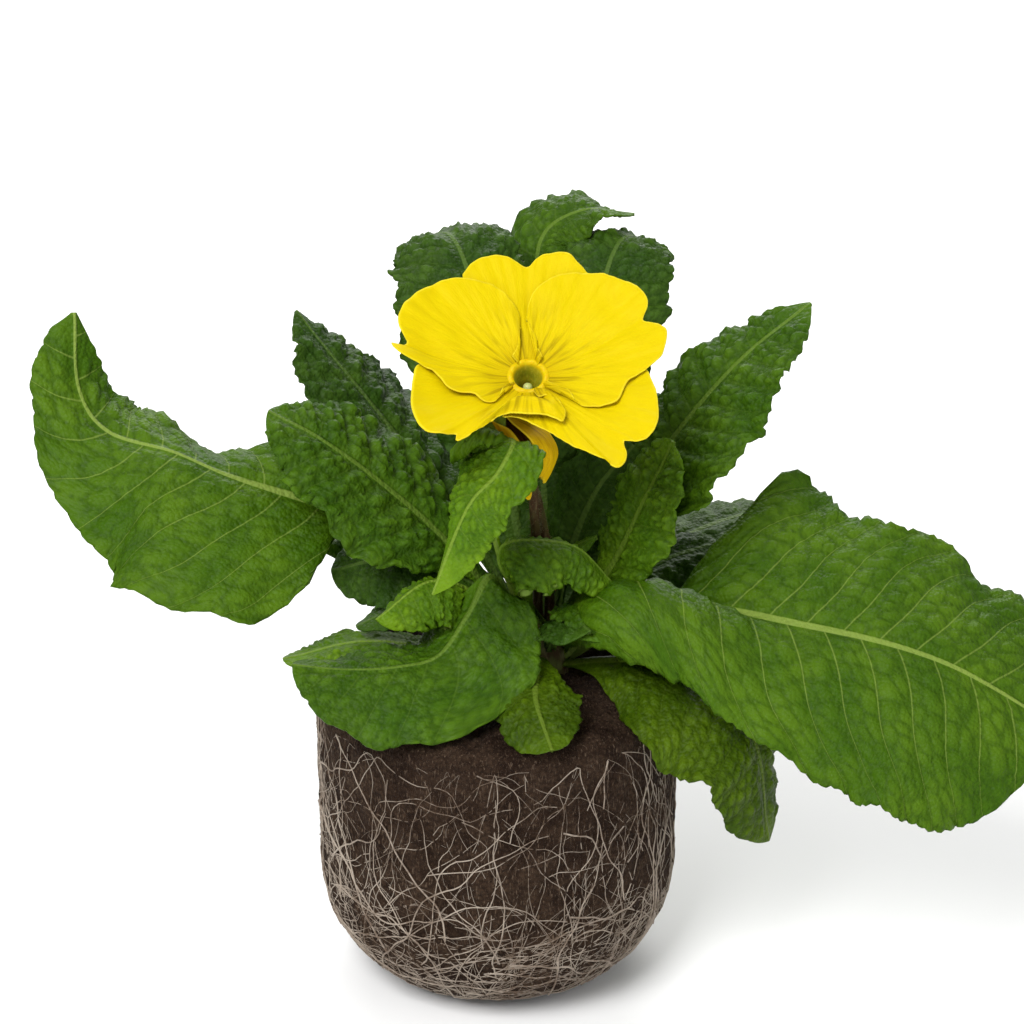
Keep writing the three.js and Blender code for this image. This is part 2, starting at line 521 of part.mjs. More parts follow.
// A leaf as a closed blade. pad makes it fatter on all sides, as the room that it takes up.
function leafSolid(leaf, pad = 0) {
  const tier = TIERS[leaf.tier];
  const base = [
    CROWN.x + tier.radius * Math.cos(leaf.angle * DEG),
    CROWN.y + tier.radius * Math.sin(leaf.angle * DEG),
    tier.height + (leaf.lift ?? 0),
  ];
  const curve = curveThrough([base, ...leaf.path]);
  const broad = leaf.rows < GREAT_ROWS ? COLUMNS.wide : COLUMNS.great;
  const columns = leaf.rows < WIDE_ROWS ? COLUMNS.narrow : broad;
  const side = new THREE.Vector3(-Math.sin(leaf.faces * DEG), Math.cos(leaf.faces * DEG), 0);
  const grid = [];
  const ribDepth = [];
  for (let i = 0; i <= leaf.rows; i++) {
    const even = 1 - Math.pow(1 - i / leaf.rows, 1.25);
    ribDepth.push(lerp(BLADE.rib, BLADE.ribTip, Math.sqrt(even)));
    grid.push(columns.map((v) => {
      const reach = Math.abs(v);
      const u = clamp(even + BLADE.sweep * reach * Math.sin(Math.PI * even), 0, 1);
      const k = v > 0 ? 0 : 1;
      const [across, normal] = squareTo(curve.getTangentAt(u), side);
      const roll = along(leaf.roll, u) * DEG;
      const out = across.clone().multiplyScalar(Math.cos(roll)).addScaledVector(normal, Math.sin(roll));
      const up = normal.clone().multiplyScalar(Math.cos(roll)).addScaledVector(across, -Math.sin(roll));
      const widest = k === 0 ? leaf.left : leaf.right;
      const width = halfWidth(u, leaf, k);
      const spread = width / widest;
      const [x, y] = halfSection(reach, along(leaf.fold[k], u), along(leaf.curl[k], u));
      const tooth = 1 + BLADE.scallop * (i % 2 ? 1 : -1) * spread * reach;
      const wave = leaf.ruffle * Math.pow(reach, 2.5) * Math.min(1.2 * spread, 1)
        * Math.sin(TURN * (leaf.waves * u + (k === 0 ? 0.37 : 0)));
      const quilt = BLADE.quilt * (i % 2 ? 1 : -1) * Math.sin(Math.PI * Math.min(reach, 0.9)) * spread;
      return curve.getPointAt(u)
        .addScaledVector(out, Math.sign(v) * x * (width + pad) * tooth)
        .addScaledVector(up, y * width + wave + quilt + pad);
    }));
  }
  const middle = (columns.length - 1) / 2;
  return solidOf(bladeFrom(grid, (i, j) => (j === middle ? ribDepth[i] : BLADE.thick) + 2 * pad));
}

// Axes of a bloom: right and up across its face, and out of it.
function bloomAxes(axis) {
  const up = new THREE.Vector3(0, 0, 1).addScaledVector(axis, -axis.z).normalize();
  return { right: up.clone().cross(axis), up, axis };
}

// One lobe of the open corolla, as a grid that fans out from the throat.
function lobe(axes, { angle, span, length, notch, ends, edge }) {
  const grid = [];
  for (let i = 0; i <= BLOOM.rows; i++) {
    const t = i / BLOOM.rows;
    const row = [];
    for (let j = 0; j <= BLOOM.columns; j++) {
      const v = 1 - (2 * j) / BLOOM.columns;
      const k = v > 0 ? 1 : 0;
      const cleft = BLOOM.cleft * Math.exp(-Math.pow((v - notch) / BLOOM.cleftWidth, 2));
      const outline = length * (1 - cleft - ends[k] * Math.pow(Math.abs(v), 2.2));
      const reach = lerp(BLOOM.throat, outline, t);
      const way = (angle + lerp(BLOOM.sector, span, ease(t, 0, 0.3)) * v) * DEG;
      const height = BLOOM.rise * Math.pow(t, 1.5) + edge[k] * v * v * ease(t, 0.05, 0.6)
        + BLOOM.ripple * t * Math.sin(6 * v + 3 * t);
      row.push(BLOOM_AT.clone()
        .addScaledVector(axes.right, reach * Math.cos(way))
        .addScaledVector(axes.up, reach * Math.sin(way))
        .addScaledVector(axes.axis, height));
    }
    grid.push(row);
  }
  return bladeFrom(grid, () => BLOOM.lobeThick);
}

// A sleeve round an axis: outer rings up, then inner rings down, joined at both ends.
function sleeve(origin, axes, outer, wall, sides) {
  const ring = ([height, radius], inset) => ringAt(origin.clone().addScaledVector(axes.axis, height),
    axes.right, axes.up, sides, (k) => (typeof radius === "function" ? radius(k) : radius) - inset);
  return hoop([...outer.map((r) => ring(r, 0)), ...outer.map((r) => ring(r, wall)).reverse()]);
}

function corolla() {
  const axes = bloomAxes(BLOOM_AXIS);
  const tube = sleeve(BLOOM_AT, axes, TUBE, BLOOM.tubeWall, BLOOM.sides);
  return mainBody(fused([tube, ...LOBES.map((shape) => lobe(axes, shape))]));
}

// A round stem along an axis through the given heights above origin.
function peg(origin, axis, heights, radiusAt, shape) {
  const points = heights.map((height) => origin.clone().addScaledVector(axis, height).toArray());
  return stemAlong(curveThrough(points), radiusAt, shape, bloomAxes(axis).right);
}

// One pointed tooth of a calyx, from its rim outwards.
function calyxTooth(origin, axes, angle, { length, radius, flare }) {
  const outward = axes.right.clone().multiplyScalar(Math.cos(angle))
    .addScaledVector(axes.up, Math.sin(angle));
  const aside = outward.clone().cross(axes.axis);
  return loft(TOOTH.map(([height, spread, width]) =>
    [-1, 1].flatMap((face) => [-face, face].map((edge) => origin.clone()
      .addScaledVector(axes.axis, length + height)
      .addScaledVector(outward, radius + spread * flare + CALYX.halfTooth * face)
      .addScaledVector(aside, edge * width)))));
}

function calyx(origin, axis, shape) {
  const { length, radius, flare, pistil } = shape;
  const axes = bloomAxes(axis);
  const ribbed = (r, depth) => (k) => r + (k % 2 ? 0 : depth);
  const outer = [
    [0, ribbed(radius * CALYX.waist, CALYX.rib / 2)],
    [length * 0.35, ribbed(radius, CALYX.rib)],
    [length, ribbed(radius + 0.2 * flare, CALYX.rib)],
  ];
  const parts = [
    sleeve(origin, axes, outer, CALYX.wall, CALYX.sides),
    peg(origin, axis, CALYX.base, () => radius * CALYX.waist, { steps: 2, sides: CALYX.sides }),
  ];
  for (let k = 0; k < CALYX.teeth; k++) {
    parts.push(calyxTooth(origin, axes, (TURN * k) / CALYX.teeth, shape));
  }
  if (pistil) {
    const stigmaFrom = 1 - 3 * PISTIL.stigma / pistil;
    parts.push(peg(origin, axis, [PISTIL.foot, pistil / 2, pistil],
      (u) => (u > stigmaFrom ? PISTIL.stigma : PISTIL.style), PISTIL));
  }
  return mainBody(fused(parts));
}

function furledPetal(axes, k) {
  const turn = (TURN * k) / BUD.petals + 0.3;
  const inset = k % 2 ? BUD.inset : 0;
  const grid = [];
  for (let i = 0; i <= BUD.rows; i++) {
    const t = i / BUD.rows;
    const swell = Math.pow(Math.sin((Math.PI / 2) * Math.min(1, 1.25 * t)), 1.5);
    const closing = Math.pow(t, 4);
    const radius = lerp(BUD.throat, BUD.mouth, swell) - BUD.close * closing - inset * Math.min(1, 3 * t);
    const span = BUD.span * (1 - 0.55 * closing);
    grid.push(Array.from({ length: BUD.columns + 1 }, (_, j) => {
      const v = (2 * j) / BUD.columns - 1;
      const angle = turn + span * v;
      const height = BUD.length * lerp(BUD.from, 1, t * (1 - 0.1 * v * v));
      const reach = radius + BUD.overlap * v;
      return BUD_AT.clone().addScaledVector(axes.right, reach * Math.cos(angle))
        .addScaledVector(axes.up, reach * Math.sin(angle)).addScaledVector(axes.axis, height);
    }));
  }
  return bladeFrom(grid, () => BUD.thick);
}

function furledCorolla() {
  const axes = bloomAxes(BUD_AXIS);
  const root = peg(BUD_AT, BUD_AXIS, BUD.root, (u) => lerp(BUD.throat, 2.6, u),
    { steps: 2, sides: CALYX.sides });
  const petals = Array.from({ length: BUD.petals }, (_, k) => furledPetal(axes, k));
  return mainBody(fused([root, ...petals]));
}

// A flower stem that ends just behind a calyx, as a function of the room that it leaves round itself.
function stemTo(origin, axis, points) {
  const end = origin.clone().addScaledVector(axis, CALYX.base[0] - GAP);
  const before = origin.clone().addScaledVector(axis, -STEM.straight);
  const curve = curveThrough([...points, before.toArray(), end.toArray()]);
  return (pad) => solidOf(stemAlong(curve, (u) => STEM.radius * lerp(1, STEM.taper, u) + pad, STEM,
    new THREE.Vector3(1, 0, 0)));
}

const group = new THREE.Group();
function place(name, solid, color, roughness) {
  const mesh = new THREE.Mesh(geometryFrom(solid),
    new THREE.MeshStandardMaterial({ color, roughness, metalness: 0 }));
  mesh.name = name;
  group.add(mesh);
}

const bloomFoot = BLOOM_AT.clone().addScaledVector(BLOOM_AXIS, -BLOOM.tubeLength - 2 * GAP);
const bloomStem = stemTo(bloomFoot, BLOOM_AXIS, BLOOM_STEM);
const budStem = stemTo(BUD_AT, BUD_AXIS, BUD_STEM);
const crownRoom = crownSolid(GAP);
const crown = crownSolid(0).subtract(bloomStem(GAP)).subtract(budStem(GAP));

place("root_ball", rootBall(crownRoom), SOIL_BROWN, 0.95);
place("root_net", rootNet(), ROOT_BEIGE, 0.85);
place("crown", mainBody(crown), CROWN_GREEN, 0.7);
place("bloom_stem", bloomStem(0), STEM_BROWN, 0.7);
place("bud_stem", budStem(0), STEM_BROWN, 0.7);
place("bloom_calyx", calyx(bloomFoot, BLOOM_AXIS, BLOOM_CALYX), CALYX_GREEN, 0.6);
place("bloom_corolla", corolla(), PETAL_YELLOW, 0.5);
place("bud_calyx", calyx(BUD_AT, BUD_AXIS, BUD_CALYX), CALYX_GREEN, 0.6);
place("bud_corolla", furledCorolla(), BUD_YELLOW, 0.5);

// Leaves, each cut back where an earlier one already stands.
const taken = [crownRoom, bloomStem(GAP), budStem(GAP)];
for (const leaf of LEAVES) {
  const solid = taken.reduce((rest, room) => rest.subtract(room), leafSolid(leaf));
  place("leaf_" + leaf.name, mainBody(solid), YOUNG.includes(leaf.name) ? YOUNG_GREEN : LEAF_GREEN, 0.55);
  taken.push(leafSolid(leaf, BLADE.gap));
}

export default group;
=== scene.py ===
"""Looks of a polyanthus on its bare root ball: fine leaves, petals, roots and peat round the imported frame."""

import logging
import math
from dataclasses import dataclass
from enum import Enum
from functools import cache
from typing import Sequence

import bpy
import numpy as np
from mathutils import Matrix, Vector


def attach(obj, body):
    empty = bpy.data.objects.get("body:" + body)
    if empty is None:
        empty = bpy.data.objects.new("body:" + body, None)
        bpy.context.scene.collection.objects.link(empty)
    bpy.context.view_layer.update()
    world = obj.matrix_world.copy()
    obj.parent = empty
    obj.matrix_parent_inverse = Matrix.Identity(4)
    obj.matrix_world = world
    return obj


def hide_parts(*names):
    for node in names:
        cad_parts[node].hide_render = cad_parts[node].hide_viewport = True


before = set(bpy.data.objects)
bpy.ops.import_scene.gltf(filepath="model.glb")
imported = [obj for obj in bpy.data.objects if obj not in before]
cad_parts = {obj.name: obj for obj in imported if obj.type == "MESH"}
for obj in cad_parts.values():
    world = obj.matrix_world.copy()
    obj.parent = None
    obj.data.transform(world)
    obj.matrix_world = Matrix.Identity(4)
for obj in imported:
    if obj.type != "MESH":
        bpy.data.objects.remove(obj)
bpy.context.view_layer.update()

LOG = logging.getLogger("polyanthus")
MM = 0.001
DEG = math.pi / 180
TURN = 2 * math.pi

Colour = tuple[float, float, float]
Pair = tuple[float, float]
Point = tuple[float, float, float]
Course = float | Pair | list[Pair]
Socket = bpy.types.NodeSocket

CELL_HASHES = ((127.1, 311.7, 17.3, 43758.5453), (269.5, 183.3, 29.1, 24634.6345))
NOISE_WAVES = 4
NOISE_GROWTH = 2.1
CURVE_STEPS = 200
WELD_REACH = 0.002


def smooth(value: np.ndarray | float, low: float = 0.0, high: float = 1.0) -> np.ndarray:
    """Eases from 0 at low to 1 at high.

    Args:
        value: what is eased.
        low: where the ease starts.
        high: where it ends.

    Returns:
        The eased share, of the same shape as value.
    """
    t = np.clip((np.asarray(value, float) - low) / (high - low), 0, 1)
    return t * t * (3 - 2 * t)


def unit(vectors: np.ndarray) -> np.ndarray:
    """Returns the vectors at length 1."""
    return vectors / np.maximum(np.linalg.norm(vectors, axis=-1, keepdims=True), 1e-12)


def dot(a: np.ndarray, b: np.ndarray) -> np.ndarray:
    """Returns the dot products of two arrays of vectors, keeping their last axis."""
    return (a * b).sum(-1, keepdims=True)


def bell(value: np.ndarray | float, width: float, middle: float = 0.0) -> np.ndarray:
    """Returns 1 where value is at the middle, falling softly to 0 over a few widths."""
    return np.exp(-(((value - middle) / width) ** 2))


def run_along(points: np.ndarray) -> np.ndarray:
    """Returns how far along the line through points each of them lies."""
    return np.concatenate([[0], np.cumsum(np.linalg.norm(np.diff(points, axis=0), axis=1))])


def course_at(course: Course, share: np.ndarray) -> np.ndarray:
    """Reads what varies along a line.

    Args:
        course: one number, a pair from the start to the end, or knots of a share and the value there.
        share: how far along the line, 0 to 1.

    Returns:
        The value at each share, with eased slopes between knots.
    """
    if isinstance(course, (int, float)):
        return course + 0.0 * share
    if isinstance(course, tuple):
        return course[0] + (course[1] - course[0]) * share
    x, y = np.array(course, float).T
    low = np.maximum(np.arange(len(x)) - 1, 0)
    high = np.minimum(np.arange(len(x)) + 1, len(x) - 1)
    slope = (y[high] - y[low]) / (x[high] - x[low])
    i = np.clip(np.searchsorted(x, share, side="right") - 1, 0, len(x) - 2)
    span = x[i + 1] - x[i]
    t = np.clip((share - x[i]) / span, 0, 1)
    back = 1 - t
    ends = y[i] * (1 + 2 * t) * back**2 + y[i + 1] * t**2 * (3 - 2 * t)
    return ends + slope[i] * span * t * back**2 - slope[i + 1] * span * t**2 * back


def random_cells(cells: np.ndarray, seed: float) -> np.ndarray:
    """Gives each whole-numbered cell a repeatable random point.

    Args:
        cells: cell numbers, two to a row.
        seed: sets one pattern apart from another.

    Returns:
        Two numbers from 0 to 1 for each cell.
    """
    found = []
    for first, second, shift, size in CELL_HASHES:
        value = np.sin(cells[..., 0] * first + cells[..., 1] * second + seed * shift) * size
        found.append(value - np.floor(value))
    return np.stack(found, -1)


def cell_edges(x: np.ndarray, y: np.ndarray, seed: float) -> np.ndarray:
    """Measures how far points lie from the borders of a pattern of irregular cells one unit wide.

    Args:
        x: first coordinates, in cells.
        y: second coordinates, in cells.
        seed: sets one pattern apart from another.

    Returns:
        0 on a border, rising to about 0.5 in the middle of a cell.
    """
    place = np.stack([x, y], -1)
    home = np.floor(place)
    reaches = []
    for i in (-1, 0, 1):
        for j in (-1, 0, 1):
            cell = home + np.array([i, j], float)
            reaches.append(np.linalg.norm(cell + random_cells(cell, seed) - place, axis=-1))
    near = np.sort(np.stack(reaches), axis=0)
    return (near[1] - near[0]) / 2


def soft_noise(points: np.ndarray, seed: float, octaves: int = 3) -> np.ndarray:
    """Sums turned sine waves to a soft, repeatable noise.

    Args:
        points: places, three numbers to a row, one unit being the widest lump.
        seed: sets one noise apart from another.
        octaves: how many finer layers are laid on each other.

    Returns:
        One number for each place, about -1 to 1.
    """
    dice = np.random.default_rng(int(seed * 1000) + 5)
    total = np.zeros(points.shape[:-1])
    size = 1.0
    for _ in range(octaves):
        for _ in range(NOISE_WAVES):
            way = unit(dice.normal(size=3)) * TURN * size * dice.uniform(0.7, 1.4)
            total += np.sin(points @ way + dice.uniform(0, TURN)) / (NOISE_WAVES * math.sqrt(size))
        size *= NOISE_GROWTH
    return total


def along_curve(points: np.ndarray, share: np.ndarray) -> np.ndarray:
    """Finds places along a smooth curve through points.

    Args:
        points: the points that the curve passes.
        share: 0 at the first point to 1 at the last, even from point to point.

    Returns:
        One place for each share.
    """
    count = len(points) - 1
    padded = np.vstack([2 * points[0] - points[1], points, 2 * points[-1] - points[-2]])
    x = np.clip(share, 0, 1) * count
    i = np.minimum(x.astype(int), count - 1)
    f = (x - i)[:, None]
    a, b, c, d = padded[i], padded[i + 1], padded[i + 2], padded[i + 3]
    square, cube = 2 * a - 5 * b + 4 * c - d, 3 * b - a - 3 * c + d
    return 0.5 * (2 * b + (c - a) * f + square * f**2 + cube * f**3)


@dataclass(frozen=True)
class Line:
    """A smooth curve sampled evenly along its length, in millimetres."""

    places: np.ndarray
    ways: np.ndarray
    length: float

    @classmethod
    def through(cls, points: Sequence[Point], count: int = CURVE_STEPS) -> "Line":
        """Samples the curve through points.

        Args:
            points: the points that it passes.
            count: how many steps it is cut into.

        Returns:
            The sampled curve.
        """
        fine = along_curve(np.array(points, float), np.linspace(0, 1, 3 * count))
        run = run_along(fine)
        even = np.linspace(0, run[-1], count + 1)
        places = np.stack([np.interp(even, run, fine[:, k]) for k in range(3)], 1)
        return cls(places, unit(np.gradient(places, axis=0)), float(run[-1]))

    def at(self, share: np.ndarray) -> tuple[np.ndarray, np.ndarray]:
        """Reads the curve.

        Args:
            share: how far along it, 0 to 1.

        Returns:
            The places and the directions there.
        """
        steps = np.linspace(0, 1, len(self.places))
        found = [
            np.stack([np.interp(share, steps, part[:, k]) for k in range(3)], -1)
            for part in (self.places, self.ways)
        ]
        return found[0], unit(found[1])


@dataclass(frozen=True)
class Axes:
    """Where a round piece stands, in millimetres, and its directions: out is the way that it faces."""

    origin: np.ndarray
    right: np.ndarray
    up: np.ndarray
    out: np.ndarray

    @classmethod
    def facing(cls, origin: Point, out: Point) -> "Axes":
        """Turns the axes of a flower so that none of them leans sideways.

        Args:
            origin: where the flower stands.
            out: the way that it faces.

        Returns:
            Its axes.
        """
        ahead = unit(np.array(out, float))
        up = unit(np.array([0.0, 0.0, 1.0]) - ahead[2] * ahead)
        return cls(np.array(origin, float), np.cross(up, ahead), up, ahead)

    def place(self, right: np.ndarray, up: np.ndarray, out: np.ndarray) -> np.ndarray:
        """Returns the places at distances along the three directions."""
        parts = zip((right, up, out), (self.right, self.up, self.out))
        return self.origin + sum(np.asarray(far)[..., None] * way for far, way in parts)

    def ring(self, angle: np.ndarray, radius: np.ndarray, out: np.ndarray) -> np.ndarray:
        """Returns the places at angles, radii and distances along the axis."""
        return self.place(radius * np.cos(angle), radius * np.sin(angle), out)


class Shader:
    """One node material, with short calls for the nodes that it is made of."""

    def __init__(self, name: str, **surface: object) -> None:
        """Starts a material with one principled surface.

        Args:
            name: the material's name.
            surface: constants of the surface, with spaces in their names as underscores.
        """
        self.material = bpy.data.materials.new(name)
        self.material.use_nodes = True
        self.tree = self.material.node_tree
        self.surface = self.tree.nodes["Principled BSDF"]
        for key, value in surface.items():
            self.surface.inputs[key.replace("_", " ")].default_value = value

    def node(self, kind: str, inputs: dict | None = None, **settings: object) -> bpy.types.Node:
        """Adds a node.

        Args:
            kind: the node's type.
            inputs: sockets or constants, by the input's name or number.
            settings: properties of the node.

        Returns:
            The new node.
        """
        made = self.tree.nodes.new(kind)
        for key, value in settings.items():
            setattr(made, key, value)
        for key, value in (inputs or {}).items():
            if isinstance(value, bpy.types.NodeSocket):
                self.tree.links.new(value, made.inputs[key])
            else:
                made.inputs[key].default_value = value
        return made

    def math(self, operation: str, a: Socket | float, b: Socket | float = 0.0) -> Socket:
        """Returns the result of a calculation with one or two numbers."""
        return self.node("ShaderNodeMath", {0: a, 1: b}, operation=operation).outputs[0]

    def ease(self, value: Socket, low: float, high: float, start: float = 0.0, end: float = 1.0) -> Socket:
        """Returns start where value is low, easing to end where it is high."""
        inputs = {"Value": value, "From Min": low, "From Max": high, "To Min": start, "To Max": end}
        return self.node("ShaderNodeMapRange", inputs, interpolation_type="SMOOTHSTEP").outputs[0]

    def mix(self, share: Socket | float, a: Socket | Colour, b: Socket | Colour) -> Socket:
        """Returns a mix of two colours."""
        inputs = {0: share, 6: self.full(a), 7: self.full(b)}
        return self.node("ShaderNodeMix", inputs, data_type="RGBA").outputs[2]

    @staticmethod
    def full(colour: Socket | Colour) -> Socket | tuple[float, ...]:
        """Returns a colour with its alpha, or the socket as it is."""
        return colour if isinstance(colour, bpy.types.NodeSocket) else (*colour, 1.0)

    def attribute(self, name: str) -> bpy.types.Node:
        """Returns the node that reads one of the mesh's own attributes."""
        return self.node("ShaderNodeAttribute", attribute_name=name)

    def split(self, name: str) -> list[Socket]:
        """Returns the three numbers of a vector attribute."""
        return list(self.node("ShaderNodeSeparateXYZ", {0: self.attribute(name).outputs["Vector"]}).outputs)

    def place(self) -> Socket:
        """Returns the object coordinates."""
        return self.node("ShaderNodeTexCoord").outputs["Object"]

    def noise(self, vector: Socket, scale: float, detail: float = 3.0, rough: float = 0.55) -> Socket:
        """Returns a noise from 0 to 1."""
        inputs = {"Vector": vector, "Scale": scale, "Detail": detail, "Roughness": rough}
        return self.node("ShaderNodeTexNoise", inputs).outputs["Fac"]

    def cells(self, vector: Socket, scale: float) -> Socket:
        """Returns the distance pattern of irregular cells."""
        return self.node("ShaderNodeTexVoronoi", {"Vector": vector, "Scale": scale}).outputs["Distance"]

    def stretched(self, vector: Socket, across: float, along: float) -> Socket:
        """Returns a place scaled more across than along the object's upright axis."""
        inputs = {"Vector": vector, "Scale": (across, across, along)}
        return self.node("ShaderNodeMapping", inputs).outputs[0]

    def relief(self, *layers: tuple[Socket, float]) -> None:
        """Lays bumps on the surface.

        Args:
            layers: for each bump a height from 0 to 1 and its depth in millimetres.
        """
        under: Socket | None = None
        for height, depth in layers:
            inputs = {"Height": height, "Strength": 1.0, "Distance": depth * MM}
            if under is not None:
                inputs["Normal"] = under
            under = self.node("ShaderNodeBump", inputs).outputs[0]
        self.tree.links.new(under, self.surface.inputs["Normal"])

    def paint(self, colour: Socket, roughness: Socket | None = None) -> bpy.types.Material:
        """Sets the surface's colour and roughness.

        Args:
            colour: the colour.
            roughness: the roughness, where it varies.

        Returns:
            The material.
        """
        self.tree.links.new(colour, self.surface.inputs["Base Color"])
        if roughness is not None:
            self.tree.links.new(roughness, self.surface.inputs["Roughness"])
        return self.material


@dataclass(frozen=True)
class LeafFinish:
    """Crinkled leaf: greens of the blade, a darker green painted as shade into its hollows, the colour of its
    veins, and how far side veins show.
    """

    name: str
    fresh: Colour
    deep: Colour
    # Painted shade: the hollow green darkens the grooves between blisters and along the sunken side veins.
    hollow_shade: Colour
    vein: Colour
    back: Colour
    veined: float = 0.3
    roughness: float = 0.4

    def vein_lines(self, shader: Shader) -> Socket:
        """Draws the midrib and the side veins.

        Args:
            shader: the material that it is drawn in.

        Returns:
            1 on a vein and 0 off it.
        """
        across, _, rib = shader.split("blade")
        phase, reach, spacing = shader.split("vein")
        off = shader.math("ABSOLUTE", shader.math("SUBTRACT", phase, shader.math("ROUND", phase)))
        distance = shader.math("MULTIPLY", off, spacing)
        width = shader.ease(reach, 0.0, 0.95, 0.42, 0.12)
        away = shader.math("MINIMUM", shader.math("DIVIDE", distance, width), 1.0)
        side = shader.math("SUBTRACT", 1.0, away)
        middle = shader.math("DIVIDE", shader.math("ABSOLUTE", across), rib)
        middle = shader.ease(middle, 0.75, 1.15, 1.0, 0.0)
        return shader.math("MAXIMUM", shader.math("MULTIPLY", side, self.veined), middle)

    @cache
    def top(self) -> bpy.types.Material:
        """Makes the material of the upper face.

        Returns:
            The material, the same one each time.
        """
        shader = Shader(
            self.name,
            Specular_IOR_Level=0.08,
            Subsurface_Weight=0.05,
            Subsurface_Radius=(0.4, 1.0, 0.15),
            Subsurface_Scale=0.6 * MM,
        )
        blade = shader.attribute("blade").outputs["Vector"]
        cell = shader.attribute("cell").outputs["Fac"]
        veins = self.vein_lines(shader)
        patch = shader.ease(shader.noise(blade, 0.055, 2.0), 0.32, 0.68)
        speck = shader.noise(blade, 1.3, 4.0, 0.7)
        pucker = shader.cells(blade, 0.95)
        colour = shader.mix(patch, self.deep, self.fresh)
        # Painted shade: darkens the blade towards the blister borders and along the side veins.
        colour = shader.mix(shader.ease(cell, 0.0, 0.25, 0.62, 0.0), colour, self.hollow_shade)
        colour = shader.mix(shader.ease(speck, 0.35, 0.75, 0.0, 0.3), colour, self.fresh)
        colour = shader.mix(shader.math("MULTIPLY", veins, 0.85), colour, self.vein)
        shader.relief((pucker, -0.35), (speck, 0.16), (veins, 0.1))
        return shader.paint(colour, shader.ease(speck, 0.2, 0.8, self.roughness - 0.06, self.roughness + 0.1))

    @cache
    def underside(self) -> bpy.types.Material:
        """Makes the material of the lower face, paler, with standing veins.

        Returns:
            The material, the same one each time.
        """
        shader = Shader(self.name + "_back", Specular_IOR_Level=0.1)
        blade = shader.attribute("blade").outputs["Vector"]
        cell = shader.attribute("cell").outputs["Fac"]
        veins = self.vein_lines(shader)
        speck = shader.noise(blade, 1.1, 4.0, 0.7)
        colour = shader.mix(shader.ease(speck, 0.3, 0.7, 0.0, 0.35), self.back, self.fresh)
        colour = shader.mix(shader.ease(cell, 0.0, 0.12, 0.5, 0.0), colour, self.vein)
        colour = shader.mix(shader.math("MULTIPLY", veins, 0.8), colour, self.vein)
        shader.relief((shader.ease(cell, 0.0, 0.2, 1.0, 0.0), 0.25), (speck, 0.15), (veins, 0.3))
        return shader.paint(colour, shader.ease(speck, 0.2, 0.8, 0.55, 0.75))


GREAT = LeafFinish(
    name="leaf_great",
    fresh=(0.066, 0.135, 0.004),
    deep=(0.031, 0.082, 0.001),
    hollow_shade=(0.018, 0.05, 0.001),
    vein=(0.2, 0.28, 0.05),
    back=(0.11, 0.18, 0.035),
    veined=0.7,
)
MATURE = LeafFinish(
    name="leaf_green",
    fresh=(0.062, 0.13, 0.005),
    deep=(0.03, 0.08, 0.002),
    hollow_shade=(0.01, 0.034, 0.001),
    vein=(0.1, 0.17, 0.02),
    back=(0.1, 0.165, 0.03),
)
# Painted shade: a darker copy of the leaf greens for leaves that stand back, low or under others.
SHADED_GREEN = LeafFinish(
    name="leaf_shaded",
    fresh=(0.045, 0.095, 0.008),
    deep=(0.02, 0.055, 0.004),
    hollow_shade=(0.007, 0.024, 0.001),
    vein=(0.07, 0.125, 0.02),
    back=(0.07, 0.12, 0.02),
)
OLIVE = LeafFinish(
    name="leaf_olive",
    fresh=(0.068, 0.12, 0.003),
    deep=(0.034, 0.07, 0.001),
    hollow_shade=(0.013, 0.03, 0.0005),
    vein=(0.1, 0.155, 0.015),
    back=(0.1, 0.15, 0.02),
)
# Painted light: a lighter copy of the leaf greens for leaves that would otherwise render in shade.
LIT_GREEN = LeafFinish(
    name="leaf_lit",
    fresh=(0.095, 0.18, 0.006),
    deep=(0.045, 0.11, 0.003),
    hollow_shade=(0.017, 0.05, 0.001),
    vein=(0.12, 0.2, 0.02),
    back=(0.12, 0.19, 0.03),
)
YOUNG = LeafFinish(
    name="leaf_young",
    fresh=(0.115, 0.21, 0.006),
    deep=(0.055, 0.13, 0.003),
    hollow_shade=(0.02, 0.06, 0.001),
    vein=(0.15, 0.235, 0.025),
    back=(0.15, 0.22, 0.04),
)


